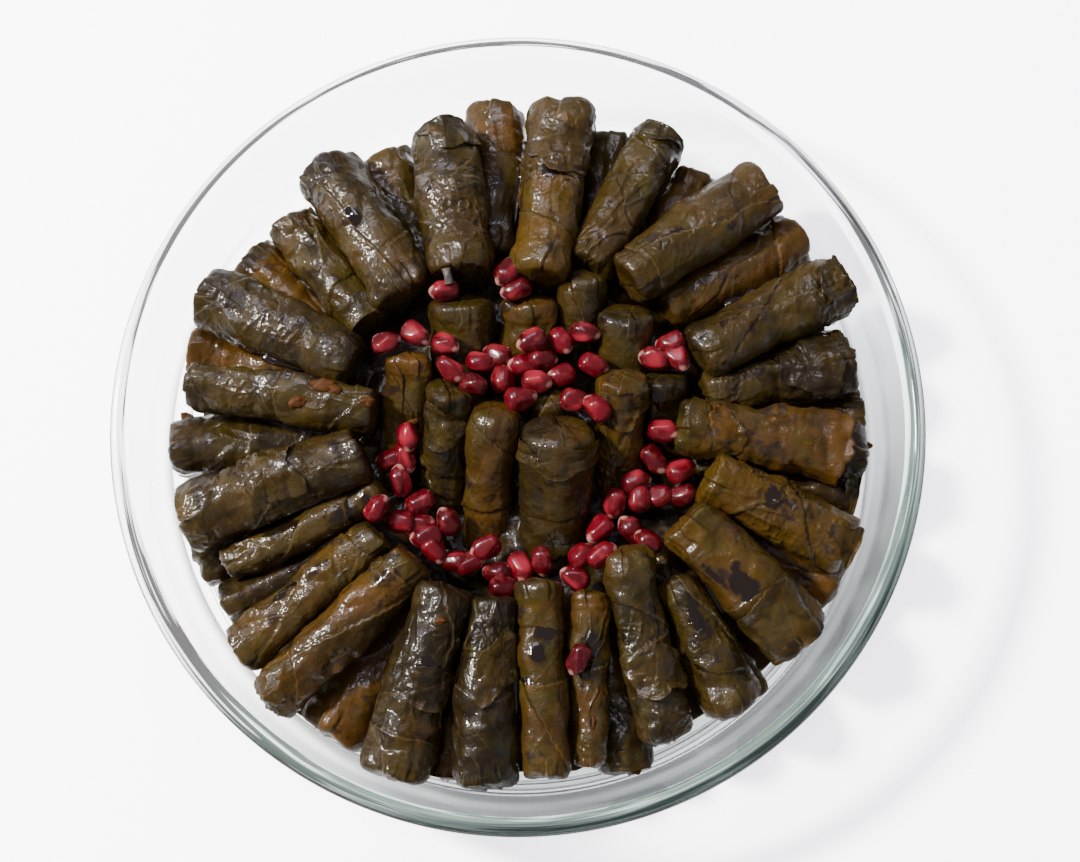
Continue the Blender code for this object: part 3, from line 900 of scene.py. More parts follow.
leaves = {
    "leaf_olive": leaf_finish("olive_leaf", (0.100, 0.052, 0.0050)),
    "leaf_dark": leaf_finish("dark_leaf", (0.078, 0.043, 0.0070)),
    "leaf_golden": leaf_finish("golden_leaf", GOLDEN_LEAF),
}
print("leaf finishes:", ", ".join(leaves))

# %% [markdown]
# Each plain roll gives way to its wrapped one. The seed differs from roll to roll, so
# that no two are creased alike.

# %% Serve the rolls
for number, (name, roll) in enumerate(rolls.items()):
    serve(wrapped_roll(roll, 100 + 37 * number), leaves[slot_of[name]], slot_of[name], name)
print("wrapped rolls:", len(rolls))

# %% [markdown]
# Torn and folded leaves stand off some rolls: a lobed end that lies loose, a corner
# that sticks out past the end, a scrap on the glass. Each is a thin solid: a toothed
# outline filled with rings, laid over its roll a little above the skin, with waves and
# a lifted rim. First come the outline and the skin that it is laid over.

# %% The outline of a loose leaf


def skin_radius(roll, s, turn):
    """The finished skin's distance from the centre line, by straight blending."""
    rows, columns, grown = roll.skin
    grown = np.concatenate([grown, grown[:, :1]], axis=1)
    row = np.clip(np.interp(s, rows, np.arange(len(rows))), 0, len(rows) - 1.001)
    turn = (turn + np.pi) % (2 * np.pi) - np.pi
    column = np.interp(turn, columns, np.arange(len(columns)))
    i, j = row.astype(int), np.minimum(column.astype(int), len(columns) - 2)
    u, v = row - i, column - j
    near = grown[i, j] * (1 - v) + grown[i, j + 1] * v
    far = grown[i + 1, j] * (1 - v) + grown[i + 1, j + 1] * v
    return near * (1 - u) + far * u


def leaf_outline(angle, lobes, seed):
    """Distance of the margin from the middle: a lobed wave, slow noise and teeth."""
    ring = np.stack([np.cos(angle) * 1.6, np.sin(angle) * 1.6, np.full_like(angle, seed)], axis=-1)
    teeth = np.abs((angle * 4.3 + soft_noise(ring * 2, seed)) % 1 - 0.5)
    return 0.82 + 0.13 * np.cos(lobes * angle) + 0.20 * soft_noise(ring, seed) + 0.10 * teeth


def pole_to_pole(field):
    """Rows in the order of a tube that starts and ends in a point: of the first row and
    of the last only one value stays."""
    return np.concatenate([field[0, :1], field[1:-1].reshape(-1, *field.shape[2:]), field[-1, :1]])


def two_faced(upper, under):
    """The rings of an upper face outwards, then those of the under face back."""
    return pole_to_pole(np.concatenate([upper, under[::-1]]))


reaches = leaf_outline(np.linspace(0, 2, 5), 5, 1).round(2)
print("a leaf with five lobes reaches", reaches, "of its half length")

# %% [markdown]
# The leaf is laid out flat on the unrolled skin and then wrapped onto the roll. Past
# the roll's end it goes straight on, and it may sink there under its own weight.

# %% A leaf laid over a roll
LEAF_THICKNESS = 0.4
OVERHANG = 1.6
LEAF_RINGS, LEAF_SPOKES = 22, 120


def flat_leaf(long, wide, heading, lobes, seed):
    """Rings of the outline from a point to its full size, turned by the heading."""
    angle = np.arange(LEAF_SPOKES) * 2 * np.pi / LEAF_SPOKES
    ring = np.linspace(0, 1, LEAF_RINGS + 1)[1:, None]
    reach = leaf_outline(angle, lobes, seed) * ring
    x, y = reach * np.cos(angle) * long / 2, reach * np.sin(angle) * wide / 2
    x, y = x * math.cos(heading) - y * math.sin(heading), x * math.sin(heading) + y * math.cos(heading)
    middle = np.zeros((1, LEAF_SPOKES))
    return np.concatenate([middle, x]), np.concatenate([middle, y]), np.concatenate([[[0.0]], ring])


def wrapped_onto(roll, x, y, lift, droop):
    """A flat place x along and y round the roll, at a height over its skin, and the
    way out there. Past an end the line goes on, and droop lets the leaf sink with the
    square of the way."""
    most = roll.cap + OVERHANG
    past_start = most * np.tanh(np.clip(roll.arc - x, 0, None) / most)
    past_end = most * np.tanh(np.clip(x - roll.arc - roll.straight, 0, None) / most)
    on_body = np.clip(x, roll.arc, roll.arc + roll.straight)
    around = y / roll.radius
    radius = skin_radius(roll, on_body, around) + lift - droop * (past_start + past_end) ** 2
    line = roll.start + (on_body - roll.arc + past_end - past_start)[..., None] * roll.along
    out = np.sin(around)[..., None] * roll.side + np.cos(around)[..., None] * roll.up
    return line, out, radius


def loose_leaf(name, row, seed):
    """Its height over the skin is a small gap, plus waves that grow from the middle,
    plus a rim lift with the fourth power of the way out."""
    roll, share, turn, long, wide, heading, lobes, rim_lift, tone, droop = row
    roll, heading = rolls[roll], math.radians(heading)
    x, y, ring = flat_leaf(long, wide, heading, lobes, seed)
    middle = roll.place(share, turn)
    x, y = x + middle[0], y + middle[1]
    flat = np.stack([x / 7, y / 7, np.full_like(x, seed)], axis=-1)
    waves = 0.9 * np.abs(soft_noise(flat, seed + 1)) + 0.5 * np.abs(soft_noise(flat * 2.2, seed + 2))
    lifted = rim_lift * ring**4 * (0.6 + soft_noise(flat * 0.8, seed + 3))
    lift = 0.18 + (0.25 + 0.9 * ring) * waves + lifted
    line, out, radius = wrapped_onto(roll, x, y, lift, droop)
    inner = radius - LEAF_THICKNESS * (1 - 0.6 * ring**3)
    points = two_faced(line + out * radius[..., None], line + out * inner[..., None])
    stalk = (-0.9 * long * math.cos(heading), -0.9 * long * math.sin(heading))
    main, side = vine_veins(x - middle[0], y - middle[1], stalk, heading, 7.0)
    shade = tone + 0.2 * layered_noise(flat * 0.7, seed + 4)
    marks = {}
    # The leaf is darker where it lies close to the skin, as painted shade.
    for mark, field in (("tone", shade), ("main_vein", main), ("side_vein", side), ("hollow", 0.5 - waves)):
        marks[mark] = two_faced(field, field)
    marks["margin"] = np.full(len(points), NO_MARGIN)
    return shell(name, points, *tube_faces(2 * LEAF_RINGS, LEAF_SPOKES), marks)


print("a loose leaf has", 2 + 2 * LEAF_RINGS * LEAF_SPOKES, "points")

# %% [markdown]
# These are the loose leaves that show most: the lobed cover of the roll at the right,
# flaps over the ends of the upper rolls, and torn covers of the rolls in the middle.

# %% Serve the loose leaves
# roll, share, angle, length, width, heading, lobes, rim lift, tone, droop
LOOSE_LEAVES = [
    ("upper_roll_19", 0.46, 0, 60, 34, 6, 3, 2.6, 0.95, 0.03),
    ("upper_roll_19", 0.78, -12, 30, 26, 60, 3, 1.2, 0.62, 0.02),
    ("upper_roll_17", 0.24, 0, 34, 38, 20, 5, 1.6, 0.56, 0.02),
    ("upper_roll_18", 0.10, -6, 26, 17, 10, 3, 1.6, 0.60, 0.015),
    ("upper_roll_02", 0.17, -8, 20, 34, 12, 4, 0.8, 0.36, 0.01),
    ("upper_roll_21", 0.13, -20, 26, 26, 30, 4, 1.0, 0.22, 0.01),
    ("middle_roll_08", 0.21, 0, 15, 46, 3, 6, 0.7, 0.40, 0.03),
    ("middle_roll_06", 0.28, 10, 18, 24, 20, 3, 1.6, 0.35, 0.02),
    ("middle_roll_10", 0.24, 0, 20, 26, -20, 5, 1.6, 0.55, 0.02),
    ("upper_roll_07", 0.52, -18, 30, 26, 45, 4, 1.4, 0.35, 0.0),
    ("upper_roll_11", 0.50, 38, 26, 16, 80, 3, 1.6, 0.20, 0.0),
    # The leaf on upper_roll_20 is nearly black too, as painted shadow.
    ("upper_roll_20", 0.34, 0, 32, 30, 0, 3, 1.4, 0.06, 0.02),
    ("upper_roll_15", 0.40, 8, 22, 30, 30, 4, 1.8, 0.50, 0.0),
    ("upper_roll_01", 0.36, -8, 24, 30, 10, 5, 1.2, 0.52, 0.0),
    ("upper_roll_04", 0.88, 10, 22, 22, 40, 4, 1.4, 0.45, 0.0),
    ("upper_roll_12", 0.62, 20, 30, 18, 20, 4, 1.2, 0.40, 0.0),
    ("upper_roll_24", 0.13, 10, 12, 26, 0, 4, 0.9, 0.28, 0.01),
    ("lower_roll_10", 0.10, -10, 18, 18, 20, 4, 1.2, 0.75, 0.01),
    ("lower_roll_11", 0.10, 10, 18, 18, -30, 5, 1.2, 0.30, 0.01),
    ("lower_roll_14", 0.06, 0, 20, 18, 20, 4, 2.0, 0.60, 0.01),
]
for number, row in enumerate(LOOSE_LEAVES):
    slot = slot_of[row[0]]
    serve(loose_leaf(f"loose_leaf_{number + 1:02d}", row, 300 + number), leaves[slot], slot)
print("loose leaves:", len(LOOSE_LEAVES))

# %% [markdown]
# Deep in the gaps, flat wet leaves show under the rolls and seeds. Only their upper
# face is ever seen, so one crumpled sheet stands for them all. It sinks to its rim. In
# the middle of the dish it is wet with syrup and darkened nearly to black, partly as
# painted shade.

# %% Leaves deep in the gaps
BED_TOP, BED_SINKS = 22, 15
BED_INSET = 3
BED_THICKNESS = 1.0
BED_COLUMNS, BED_ROWS = 220, 80
# pitch and depth in millimetres
BED_DENTS = ((17, 6.0), (8, 1.8), (4, 0.5))


def bed_rim(angle):
    """Unit steps outwards, and how far the sheet goes there: to the upper rolls' outer
    ends, read round the dish, less an inset, with a little noise."""
    rim = np.stack([np.cos(angle), np.sin(angle), np.zeros(len(angle))], axis=-1)
    upper = [roll for name, roll in rolls.items() if name.startswith("upper")]
    ends = np.array([roll.start - roll.cap * roll.along for roll in upper])
    way = np.arctan2(ends[:, 1], ends[:, 0])
    reach = np.interp(angle, way, np.hypot(ends[:, 0], ends[:, 1]), period=2 * np.pi)
    return rim, (reach - BED_INSET) * (1 + 0.02 * layered_noise(rim * 6, 735, 3))


def leaf_bed():
    """A disc that falls from half way to its rim, crumpled by noise without its sign,
    with an underside one thickness lower."""
    angle = np.arange(BED_COLUMNS) * 2 * np.pi / BED_COLUMNS
    share = (np.arange(BED_ROWS + 1) / BED_ROWS)[:, None]
    rim, reach = bed_rim(angle)
    flat = share[..., None] * rim[:, :2] * reach[:, None]
    spots = np.concatenate([flat, np.zeros_like(flat[..., :1])], axis=-1)
    dents = sum(deep * np.abs(soft_noise(spots / pitch, 730 + pitch)) for pitch, deep in BED_DENTS)
    top = BED_TOP - BED_SINKS * ease(0.50, 1.0, share) + dents
    upper = np.concatenate([flat, top[..., None]], axis=-1)
    points = two_faced(upper, upper - [0, 0, BED_THICKNESS])
    main, side = vine_veins(flat[..., 0], flat[..., 1], (-70, 20), 0.4, 8.0)
    # In the middle of the dish the sheet is wet with syrup, and its tone is lowered as painted shade.
    soaked_and_shaded = (1 - ease(0.40, 0.66, share)) * np.ones_like(dents)
    shade = 0.62 + 0.3 * layered_noise(spots / 15, 741) - 0.5 * soaked_and_shaded
    fields = {"tone": shade, "main_vein": main, "side_vein": side}
    # The sheet is darker in its dents, as painted shade.
    fields.update({"hollow": 0.6 - dents / 5, "syrup": 0.45 * soaked_and_shaded})
    marks = {mark: two_faced(field, field) for mark, field in fields.items()}
    marks["margin"] = np.full(len(points), NO_MARGIN)
    return shell("leaves_in_the_gaps", points, *tube_faces(2 * BED_ROWS, BED_COLUMNS), marks)


serve(leaf_bed(), leaf_finish("deep_leaf", BROWN_LEAF, 0.05), "leaf_dark")
print("the bed stops", BED_INSET, "mm inside the ends of the upper rolls")

# %% [markdown]
# Between two rolls that lie side by side, syrup fills the bottom of the furrow and
# shines there in a long thin line. Each filling is a strip along the line midway
# between the two rolls: a flattened tube whose width and height swell and shrink.

# %% Syrup between the rolls
FURROW_ROWS, FURROW_COLUMNS = 70, 20
FURROW_HALF_WIDTH, FURROW_HALF_HEIGHT = 1.5, 0.7
# first roll, second roll, shares where it starts and ends, height as a share of radius
FURROWS = [
    ("upper_roll_02", "lower_roll_03", 0.25, 0.80, 0.35),
    ("upper_roll_01", "lower_roll_02", 0.30, 0.85, 0.25),
    ("upper_roll_04", "lower_roll_04", 0.15, 0.70, 0.35),
    ("upper_roll_03", "upper_roll_04", 0.30, 0.70, 0.20),
    ("upper_roll_05", "upper_roll_06", 0.35, 0.75, 0.30),
    ("upper_roll_08", "upper_roll_09", 0.35, 0.85, 0.15),
    ("upper_roll_09", "upper_roll_10", 0.50, 0.80, 0.20),
    ("upper_roll_12", "upper_roll_13", 0.30, 0.80, 0.25),
    ("upper_roll_16", "upper_roll_17", 0.50, 0.80, 0.20),
    ("upper_roll_21", "upper_roll_22", 0.45, 0.75, 0.25),
]


def unit(vectors):
    """Vectors of length one."""
    return vectors / np.linalg.norm(vectors, axis=-1, keepdims=True)


def furrow_syrup(name, first, second, start, end, height, seed):
    """A tube along the middle between two centre lines, raised by a share of the
    radius. Its width and height swell with noise and taper to both ends."""
    share = np.linspace(start, end, FURROW_ROWS)[:, None]
    lines = [roll.start + (share * roll.straight) * roll.along for roll in (first, second)]
    across = unit(lines[1] - lines[0])
    up = np.cross(across, unit(first.along + second.along))
    up *= np.sign(up[:, 2:3])
    spots = np.stack([share[:, 0] * 9, share[:, 0] * 0, share[:, 0] * 0 + seed], axis=-1)
    noise = soft_noise(spots, seed)[:, None]
    middle = sum(lines) / 2 + up * ((first.radius + second.radius) / 2 * height + 0.7 * noise)
    to_end = (share - start) / (end - start) * 2 - 1
    swell = np.sqrt(np.clip(1 - to_end**6, 0.02, 1)) * (1 + 0.45 * noise)
    angle = np.arange(FURROW_COLUMNS) * 2 * np.pi / FURROW_COLUMNS
    wide = FURROW_HALF_WIDTH * swell * np.cos(angle)
    high = FURROW_HALF_HEIGHT * swell * np.sin(angle)
    points = middle[:, None] + (across[:, None] * wide[..., None] + up[:, None] * high[..., None])
    skin = np.concatenate([middle[:1], points.reshape(-1, 3), middle[-1:]])
    return shell(name, skin, *tube_faces(FURROW_ROWS, FURROW_COLUMNS))


syrup = Finish("syrup", roughness=0.05, ior=1.45, coat_weight=0.4, coat_roughness=0.03)
syrup.set("Base Color", syrup.mix(syrup.noise(12, 2), SYRUP_COLOUR, (0.016, 0.008, 0.005)))
for number, (first, second, start, end, height) in enumerate(FURROWS):
    name = f"furrow_syrup_{number + 1:02d}"
    strip = furrow_syrup(name, rolls[first], rolls[second], start, end, height, 500 + number)
    serve(strip, syrup.material, "leaf_dark")
print("furrows filled:", len(FURROWS))

# %% [markdown]
# Bits of the rice and onion stuffing cooked out and lie on the leaves. Each bit is a
# small ball whose radius swells with noise, set a little into the skin of its roll.

# %% Bits of stuffing
BIT_ROWS, BIT_COLUMNS = 12, 16
BIT_SUNK = 0.3
# roll, share, angle, half sizes
BITS = [
    ("upper_roll_06", 0.60, 14, (3.6, 2.8, 1.6)), ("upper_roll_06", 0.69, -24, (4.2, 2.4, 1.5)),
    ("upper_roll_06", 0.74, -18, (2.4, 1.9, 1.2)), ("upper_roll_06", 0.88, -8, (3.0, 2.6, 1.5)),
    ("upper_roll_06", 0.10, -45, (1.7, 1.2, 0.9)), ("upper_roll_14", 0.30, 10, (1.4, 2.2, 0.9)),
    ("middle_roll_05", 0.45, -25, (2.0, 1.5, 1.0)), ("upper_roll_11", 0.76, 10, (2.2, 1.4, 1.0)),
    ("upper_roll_20", 0.06, 25, (2.6, 1.8, 1.4)), ("upper_roll_19", 0.06, 40, (2.4, 1.7, 1.2)),
    ("lower_roll_06", 0.20, -80, (2.4, 2.2, 2.0)), ("lower_roll_11", 0.08, 30, (2.4, 1.7, 1.4)),
]


def on_skin(name, share, turn, lift):
    """A spot on a roll's finished skin, or a lift in millimetres over it."""
    roll = rolls[name]
    s, around = np.array([share * roll.reach]), np.array([math.radians(turn)])
    starts, directions = roll.rays(s, around)
    return (starts + directions * (skin_radius(roll, s, around) + lift)[:, None])[0]


def lump(row, seed):
    """A ball of rings between two poles, whose radius swells with noise."""
    name, share, turn, size = row
    polar = np.linspace(0, np.pi, BIT_ROWS)
    around = np.arange(BIT_COLUMNS) * 2 * np.pi / BIT_COLUMNS
    polar, around = np.meshgrid(polar, around, indexing="ij")
    ball = [np.sin(polar) * np.cos(around), np.sin(polar) * np.sin(around), np.cos(polar)]
    ball = np.stack(ball, axis=-1)
    ball = ball * (1 + 0.5 * layered_noise(ball * 1.5, seed, 2))[..., None] * np.array(size)
    return pole_to_pole(ball) + on_skin(name, share, turn, -BIT_SUNK)


def one_mesh(name, bodies, rows, columns, marks=None):
    """Many tubes of the same rings in one mesh: the faces of one, moved on by the number
    of points that lie before each."""
    before = np.arange(len(bodies))[:, None, None] * len(bodies[0])
    quads, threes = tube_faces(rows, columns)
    quads, threes = (quads + before).reshape(-1, 4), (threes + before).reshape(-1, 3)
    return shell(name, np.concatenate(bodies), quads, threes, marks)


stuffing = Finish("stuffing", roughness=0.5, specular_ior_level=0.15)
stuffing.set("Base Color", stuffing.mix(stuffing.noise(1.6, 3), (0.045, 0.015, 0.003), (0.13, 0.045, 0.007)))
lumps = [lump(row, 600 + number) for number, row in enumerate(BITS)]
serve(one_mesh("stuffing_bits", lumps, BIT_ROWS - 2, BIT_COLUMNS), stuffing.material, "leaf_golden")
print("bits:", len(BITS), "with", len(lumps[0]), "points each")

# %% [markdown]
# The pale end of a leaf stalk stands on one of the rolls at the back. A cut stalk is
# thicker at its ends and has soft edges along it, so it is a slightly bent tube whose
# width changes along it and round it.

# %% The end of a leaf stalk
STALK_ROWS, STALK_COLUMNS = 24, 16
STALK_HALF_WIDTH = 1.7
STALK_BOW = 0.9
STALK_WAY = (1.2, -5.2, -2.4)


def stalk(name, begin, way):
    """A tube along a line that bows upwards as a sine. Its half width has a part that
    grows with the fourth power towards both ends, and three soft edges round it."""
    share = np.linspace(0, 1, STALK_ROWS)[:, None]
    along = unit(np.array(way))
    side = unit(np.cross(along, [0, 0, 1.0]))
    up = np.cross(side, along)
    line = begin + np.array(way) * share + up * (STALK_BOW * np.sin(share * np.pi))
    angle = np.arange(STALK_COLUMNS) * 2 * np.pi / STALK_COLUMNS
    wide = STALK_HALF_WIDTH * (0.86 + 0.22 * (2 * share - 1) ** 4 + 0.10 * share)
    wide = wide * (1 + 0.06 * np.sin(3 * angle + 9 * share))
    ring = np.cos(angle)[:, None] * side + np.sin(angle)[:, None] * up
    points = line[:, None] + ring * wide[..., None]
    skin = np.concatenate([line[:1], points.reshape(-1, 3), line[-1:]])
    return shell(name, skin, *tube_faces(STALK_ROWS, STALK_COLUMNS))


pale_stalk = Finish("leaf_stalk", roughness=0.35, coat_weight=0.3, coat_roughness=0.12)
stalk_colour = pale_stalk.mix(pale_stalk.noise(1.2, 3), (0.075, 0.060, 0.045), (0.19, 0.165, 0.145))
pale_stalk.set("Base Color", stalk_colour)
stalk_start = on_skin("upper_roll_02", 0.87, 32, 0.3)
serve(stalk("leaf_stalk_end", stalk_start, STALK_WAY), pale_stalk.material, "leaf_olive")
print("stalk from", stalk_start.round(1))

# %% [markdown]
# Every pomegranate seed has its own place and its own heading, heap by heap. Seeds that
# lie on others are listed with a greater height.

# %% Where the seeds lie
# each seed: x, y, z in millimetres and the heading of its long way in degrees
SEEDS = {
    "seeds_back": [
        (-49, 30, 51, 30), (-38, 34, 48, -30), (-27, 30, 48, -15), (-25, 20, 51, -50),
        (-14, 24, 45, 0), (-17, 14, 51, -30), (-8, 27, 44, -30), (-6, 18, 44, 90),
        (5, 31, 49, 20), (2, 23, 45, 0), (9, 25, 45, 0), (7, 16, 47, 0),
        (16, 19, 44, 20), (16, 32, 45, -60), (25, 35, 45, 0), (28, 22, 48, -10),
        (1, 9, 50, 20), (21, 9, 47, 0), (29, 5, 52, -50),
    ],
    "seeds_right": [
        (54, -2, 44, -10), (51, -12, 38, -55), (61, -16, 38, 30), (44, -20, 38, 0),
        (45, -26, 38, -80), (53, -25, 36, 0), (61, -25, 36, 0), (36, -28, 36, 80),
        (30, -38, 36, 60), (42, -38, 36, -40), (48, -43, 40, -40), (24, -48, 39, 40),
        (31, -48, 42, 20), (21, -56, 38, -20),
    ],
    "seeds_front": [
        (9, -50, 37, -80), (1, -52, 36, 90), (-5, -60, 39, -20), (-8, -54, 36, 0),
        (-12, -45, 38, 20), (-18, -50, 36, 10), (-23, -50, 36, 0),
    ],
    "seeds_left": [
        (-31, -46, 38, -60), (-34, -41, 38, 0), (-26, -35, 38, -60), (-37, -28, 37, 30),
        (-37, -36, 35, 0), (-44, -35, 37, -10), (-52, -31, 44, 40), (-44, -20, 39, 90),
        (-42, -11, 38, -60), (-48, -12, 37, 0), (-41, -4, 42, -80),
    ],
    "seed_single_back": [(-28, 51, 47, 0)],
    "seeds_pair_back": [(-4, 58, 48, 60), (-1, 51, 48, 15)],
    "seeds_trio_right": [(51, 26, 43, -10), (57, 32, 43, 0), (60, 26, 44, -55)],
    "seed_single_front": [(22, -87, 46, 70)],
}
print("seeds:", sum(map(len, SEEDS.values())))

# %% [markdown]
# A pomegranate seed is a juicy drop with flattened sides, where it was packed against
# others in the fruit, and a paler tip where it grew. Each is a ball drawn out to a
# drop, whose sides are pressed flat by a few soft planes.

# %% One pomegranate seed
SEED_LONG, SEED_WIDE = 12.2, 9.7
SEED_SIZES = np.array([SEED_LONG, SEED_WIDE, SEED_WIDE * 0.94])
SEED_ROWS, SEED_COLUMNS = 22, 28
PRESSED_SIDES = 6
SEED_POLAR, SEED_AROUND = np.meshgrid(
    np.linspace(0, 1, SEED_ROWS + 2) * np.pi,
    np.arange(SEED_COLUMNS) * 2 * np.pi / SEED_COLUMNS,
    indexing="ij",
)


def pressed_drop(random):
    """A ball, narrower towards one end. Each pressed side trims it towards a plane at a
    random depth, rounded by a soft minimum."""
    narrow = 1 - 0.24 * np.cos(SEED_POLAR) - 0.10 * np.cos(2 * SEED_POLAR)
    across = np.sin(SEED_POLAR) * np.cos(SEED_AROUND) * narrow
    upward = np.sin(SEED_POLAR) * np.sin(SEED_AROUND) * narrow
    drop = np.stack([np.cos(SEED_POLAR), across, upward], axis=-1)
    drop *= SEED_SIZES / 2 * random.uniform(0.94, 1.05)
    turns = np.arange(PRESSED_SIDES) * 2 * np.pi / PRESSED_SIDES + random.uniform(0, 1)
    slants = random.uniform(-0.35, 0.35, PRESSED_SIDES)
    for normal in unit(np.stack([slants, np.cos(turns), np.sin(turns)], axis=-1)):
        over = drop @ normal - SEED_WIDE / 2 * random.uniform(0.70, 0.92)
        drop = drop - (np.log1p(np.exp(over / 0.4)) * 0.4)[..., None] * normal
    return drop


def seed_axes(heading, random):
    """A seed's three axes: its heading within 12 degrees, a small tilt, and its tip at
    either end by chance."""
    heading = math.radians(heading + random.uniform(-12, 12))
    tilt = random.uniform(-0.35, 0.35)
    if random.random() < 0.5:
        heading += math.pi
    level = math.cos(tilt)
    ahead = np.array([math.cos(heading) * level, math.sin(heading) * level, math.sin(tilt)])
    side = np.array([-math.sin(heading), math.cos(heading), 0])
    return np.stack([ahead, side, np.cross(ahead, side)])


def seed_surface(place, random):
    """One seed as rows of points, with its pale tip and its streaks, partly the pale core
    and partly painted highlight.
    """
    drop = pressed_drop(random)
    points = np.array(place[:3]) + drop @ seed_axes(place[3], random)
    way = np.cos(SEED_POLAR) * 0.5 + 0.5
    pale = ease(0.80, 1.0, way + 0.05 * np.cos(3 * SEED_AROUND))
    ring = [np.cos(SEED_AROUND) * 1.5, np.sin(SEED_AROUND) * 1.5, np.cos(SEED_POLAR) * 0.8]
    streak = soft_noise(np.stack(ring, axis=-1), int(random.integers(1, 9000)))
    return points, pale, streak * np.sin(SEED_POLAR)


tried = pressed_drop(np.random.default_rng(1))
print("one seed measures", np.ptp(tried.reshape(-1, 3), axis=0).round(1), "mm")

# %% [markdown]
# Seeds in one heap differ in size, in how they were pressed and in how deep their red
# is. The whole heap is one mesh with marks for the shade, the tip and the streaks.

# %% A heap of seeds


def seed_heap(name, places, seed):
    """All seeds of a heap in one mesh, each drawn from the heap's own generator."""
    random = np.random.default_rng(seed)
    bodies, marks = [], {"pale": [], "shade": [], "streak": []}
    for place in places:
        points, pale, streak = seed_surface(place, random)
        bodies.append(pole_to_pole(points))
        marks["pale"].append(pole_to_pole(pale))
        marks["shade"].append(np.full(len(bodies[0]), random.uniform(0, 1)))
        marks["streak"].append(pole_to_pole(streak))
    marks = {mark: np.concatenate(values) for mark, values in marks.items()}
    return one_mesh("pomegranate_" + name, bodies, SEED_ROWS, SEED_COLUMNS, marks)


print("points in a heap of ten:", 10 * (2 + SEED_ROWS * SEED_COLUMNS))

# %% [markdown]
# A seed is clear red juice round a small core, under a thin shining skin. Light enters,
# is scattered and comes out redder, so part of the colour is worked out under the
# surface. Red light goes about ten times as far in it as the rest. Paler patches are a
# painted glow of light inside, and the streaks are partly the pale core and partly
# painted highlight.

# %% Red juice
DEEP_RED, BRIGHT_RED = (0.070, 0.0014, 0.0038), (0.185, 0.0036, 0.0110)
STREAK_AND_HIGHLIGHT_RED, PAINTED_GLOW_RED, PALE_TIP = (0.50, 0.030, 0.050), (0.46, 0.055, 0.060), (0.72, 0.34, 0.27)


def seed_finish():
    """Deep to bright red by the seed's shade, then streaks that are partly painted
    highlight, patches of painted glow and the pale tip.
    """
    finish = Finish("pomegranate_seed", roughness=0.24, ior=1.38, coat_weight=0.35, coat_roughness=0.07)
    finish.set("Subsurface Weight", 0.35)
    finish.set("Subsurface Radius", (1.0, 0.10, 0.08))
    finish.set("Subsurface Scale", 2.2 * MM)
    red = finish.mix(finish.mark("shade"), DEEP_RED, BRIGHT_RED)
    # Streaks, partly the pale core seen through the juice and partly painted highlight.
    streak_highlights = finish.slope(finish.mark("streak"), 0.05, 0.75)
    red = finish.mix(finish.times(streak_highlights, 0.75), red, STREAK_AND_HIGHLIGHT_RED)
    # Paler patches at random: painted glow of the light inside the seed.
    red = finish.mix(finish.slope(finish.noise(3.6, 3), 0.50, 0.72, 0, 0.34), red, PAINTED_GLOW_RED)
    uneven = finish.slope(finish.noise(1.5, 2), 0.3, 0.7, -0.15, 0.15)
    tip = finish.slope(finish.maths("ADD", finish.mark("pale"), uneven), 0.25, 1.0)
    finish.set("Base Color", finish.mix(finish.times(tip, 0.75), red, PALE_TIP))
    finish.set("Normal", finish.bump(finish.noise(1.3, 2), 0.10, 0.5))
    return finish.material


red_seeds = seed_finish()
for number, (name, places) in enumerate(SEEDS.items()):
    serve(seed_heap(name, places, 900 + number), red_seeds, "aril", name)
print("heaps:", len(SEEDS))

# %% [markdown]
# A dish like this is pressed or blown in a round mould, and its rim is melted to a bead.
# So it is the same all round, and one profile is turned about the upright axis. The
# corners of the plain solid's profile are drawn through again with a smooth curve.

# %% Turn the glass dish
INSIDE = [(0, 5), (60, 5), (110, 5), (125, 5), (130.5, 6.8), (134, 10), (136.5, 15), (138, 22), (140.5, 35)]
BEAD = [(143, 48), (143.9, 52), (145.2, 54.3), (147, 55), (148.8, 54.4), (149.8, 52.8), (150, 51)]
OUTSIDE = [(149.4, 48.9), (148, 47.5), (146.2, 41), (144.3, 31), (142.5, 22), (141.2, 15), (139, 10)]
FOOT = [(135, 4), (130, 0.6), (126, 0), (60, 0), (0, 0)]
DISH_COLUMNS = 256


def smooth_profile(corners, pieces):
    """A Catmull-Rom curve: between two corners a cubic whose slope at each is half
    the step from the corner before it to the one after."""
    known = np.array([corners[0], *corners, corners[-1]], float)
    t = np.linspace(0, 1, pieces, endpoint=False)[None, :, None]
    a, b, c, d = (known[k:len(known) - 3 + k, None] for k in range(4))
    curve = 0.5 * (2 * b + (c - a) * t + (2 * a - 5 * b + 4 * c - d) * t**2 + (3 * b - a - 3 * c + d) * t**3)
    return np.concatenate([curve.reshape(-1, 2), known[-1:]])


def turned(name, profile, columns):
    """A closed skin from a profile whose two ends lie on the axis."""
    angle = np.arange(columns) * 2 * np.pi / columns
    ring = np.stack([np.cos(angle), -np.sin(angle)], axis=-1)
    rows = profile[1:-1]
    heights = np.repeat(rows[:, None, 1:], columns, axis=1)
    points = np.concatenate([rows[:, None, :1] * ring, heights], axis=-1)
    ends = np.array([[0, 0, profile[0, 1]], [0, 0, profile[-1, 1]]])
    skin = np.concatenate([ends[:1], points.reshape(-1, 3), ends[1:]])
    return shell(name, skin, *tube_faces(len(rows), columns))


profile = smooth_profile(INSIDE + BEAD + OUTSIDE + FOOT, 4)
off_axis = profile[profile[:, 0] > 0.01]
profile = np.concatenate([[[0, 5.0]], off_axis, [[0, 0.0]]])
dish = turned("glass_dish_turned", profile, DISH_COLUMNS)
print("dish profile points:", len(profile))

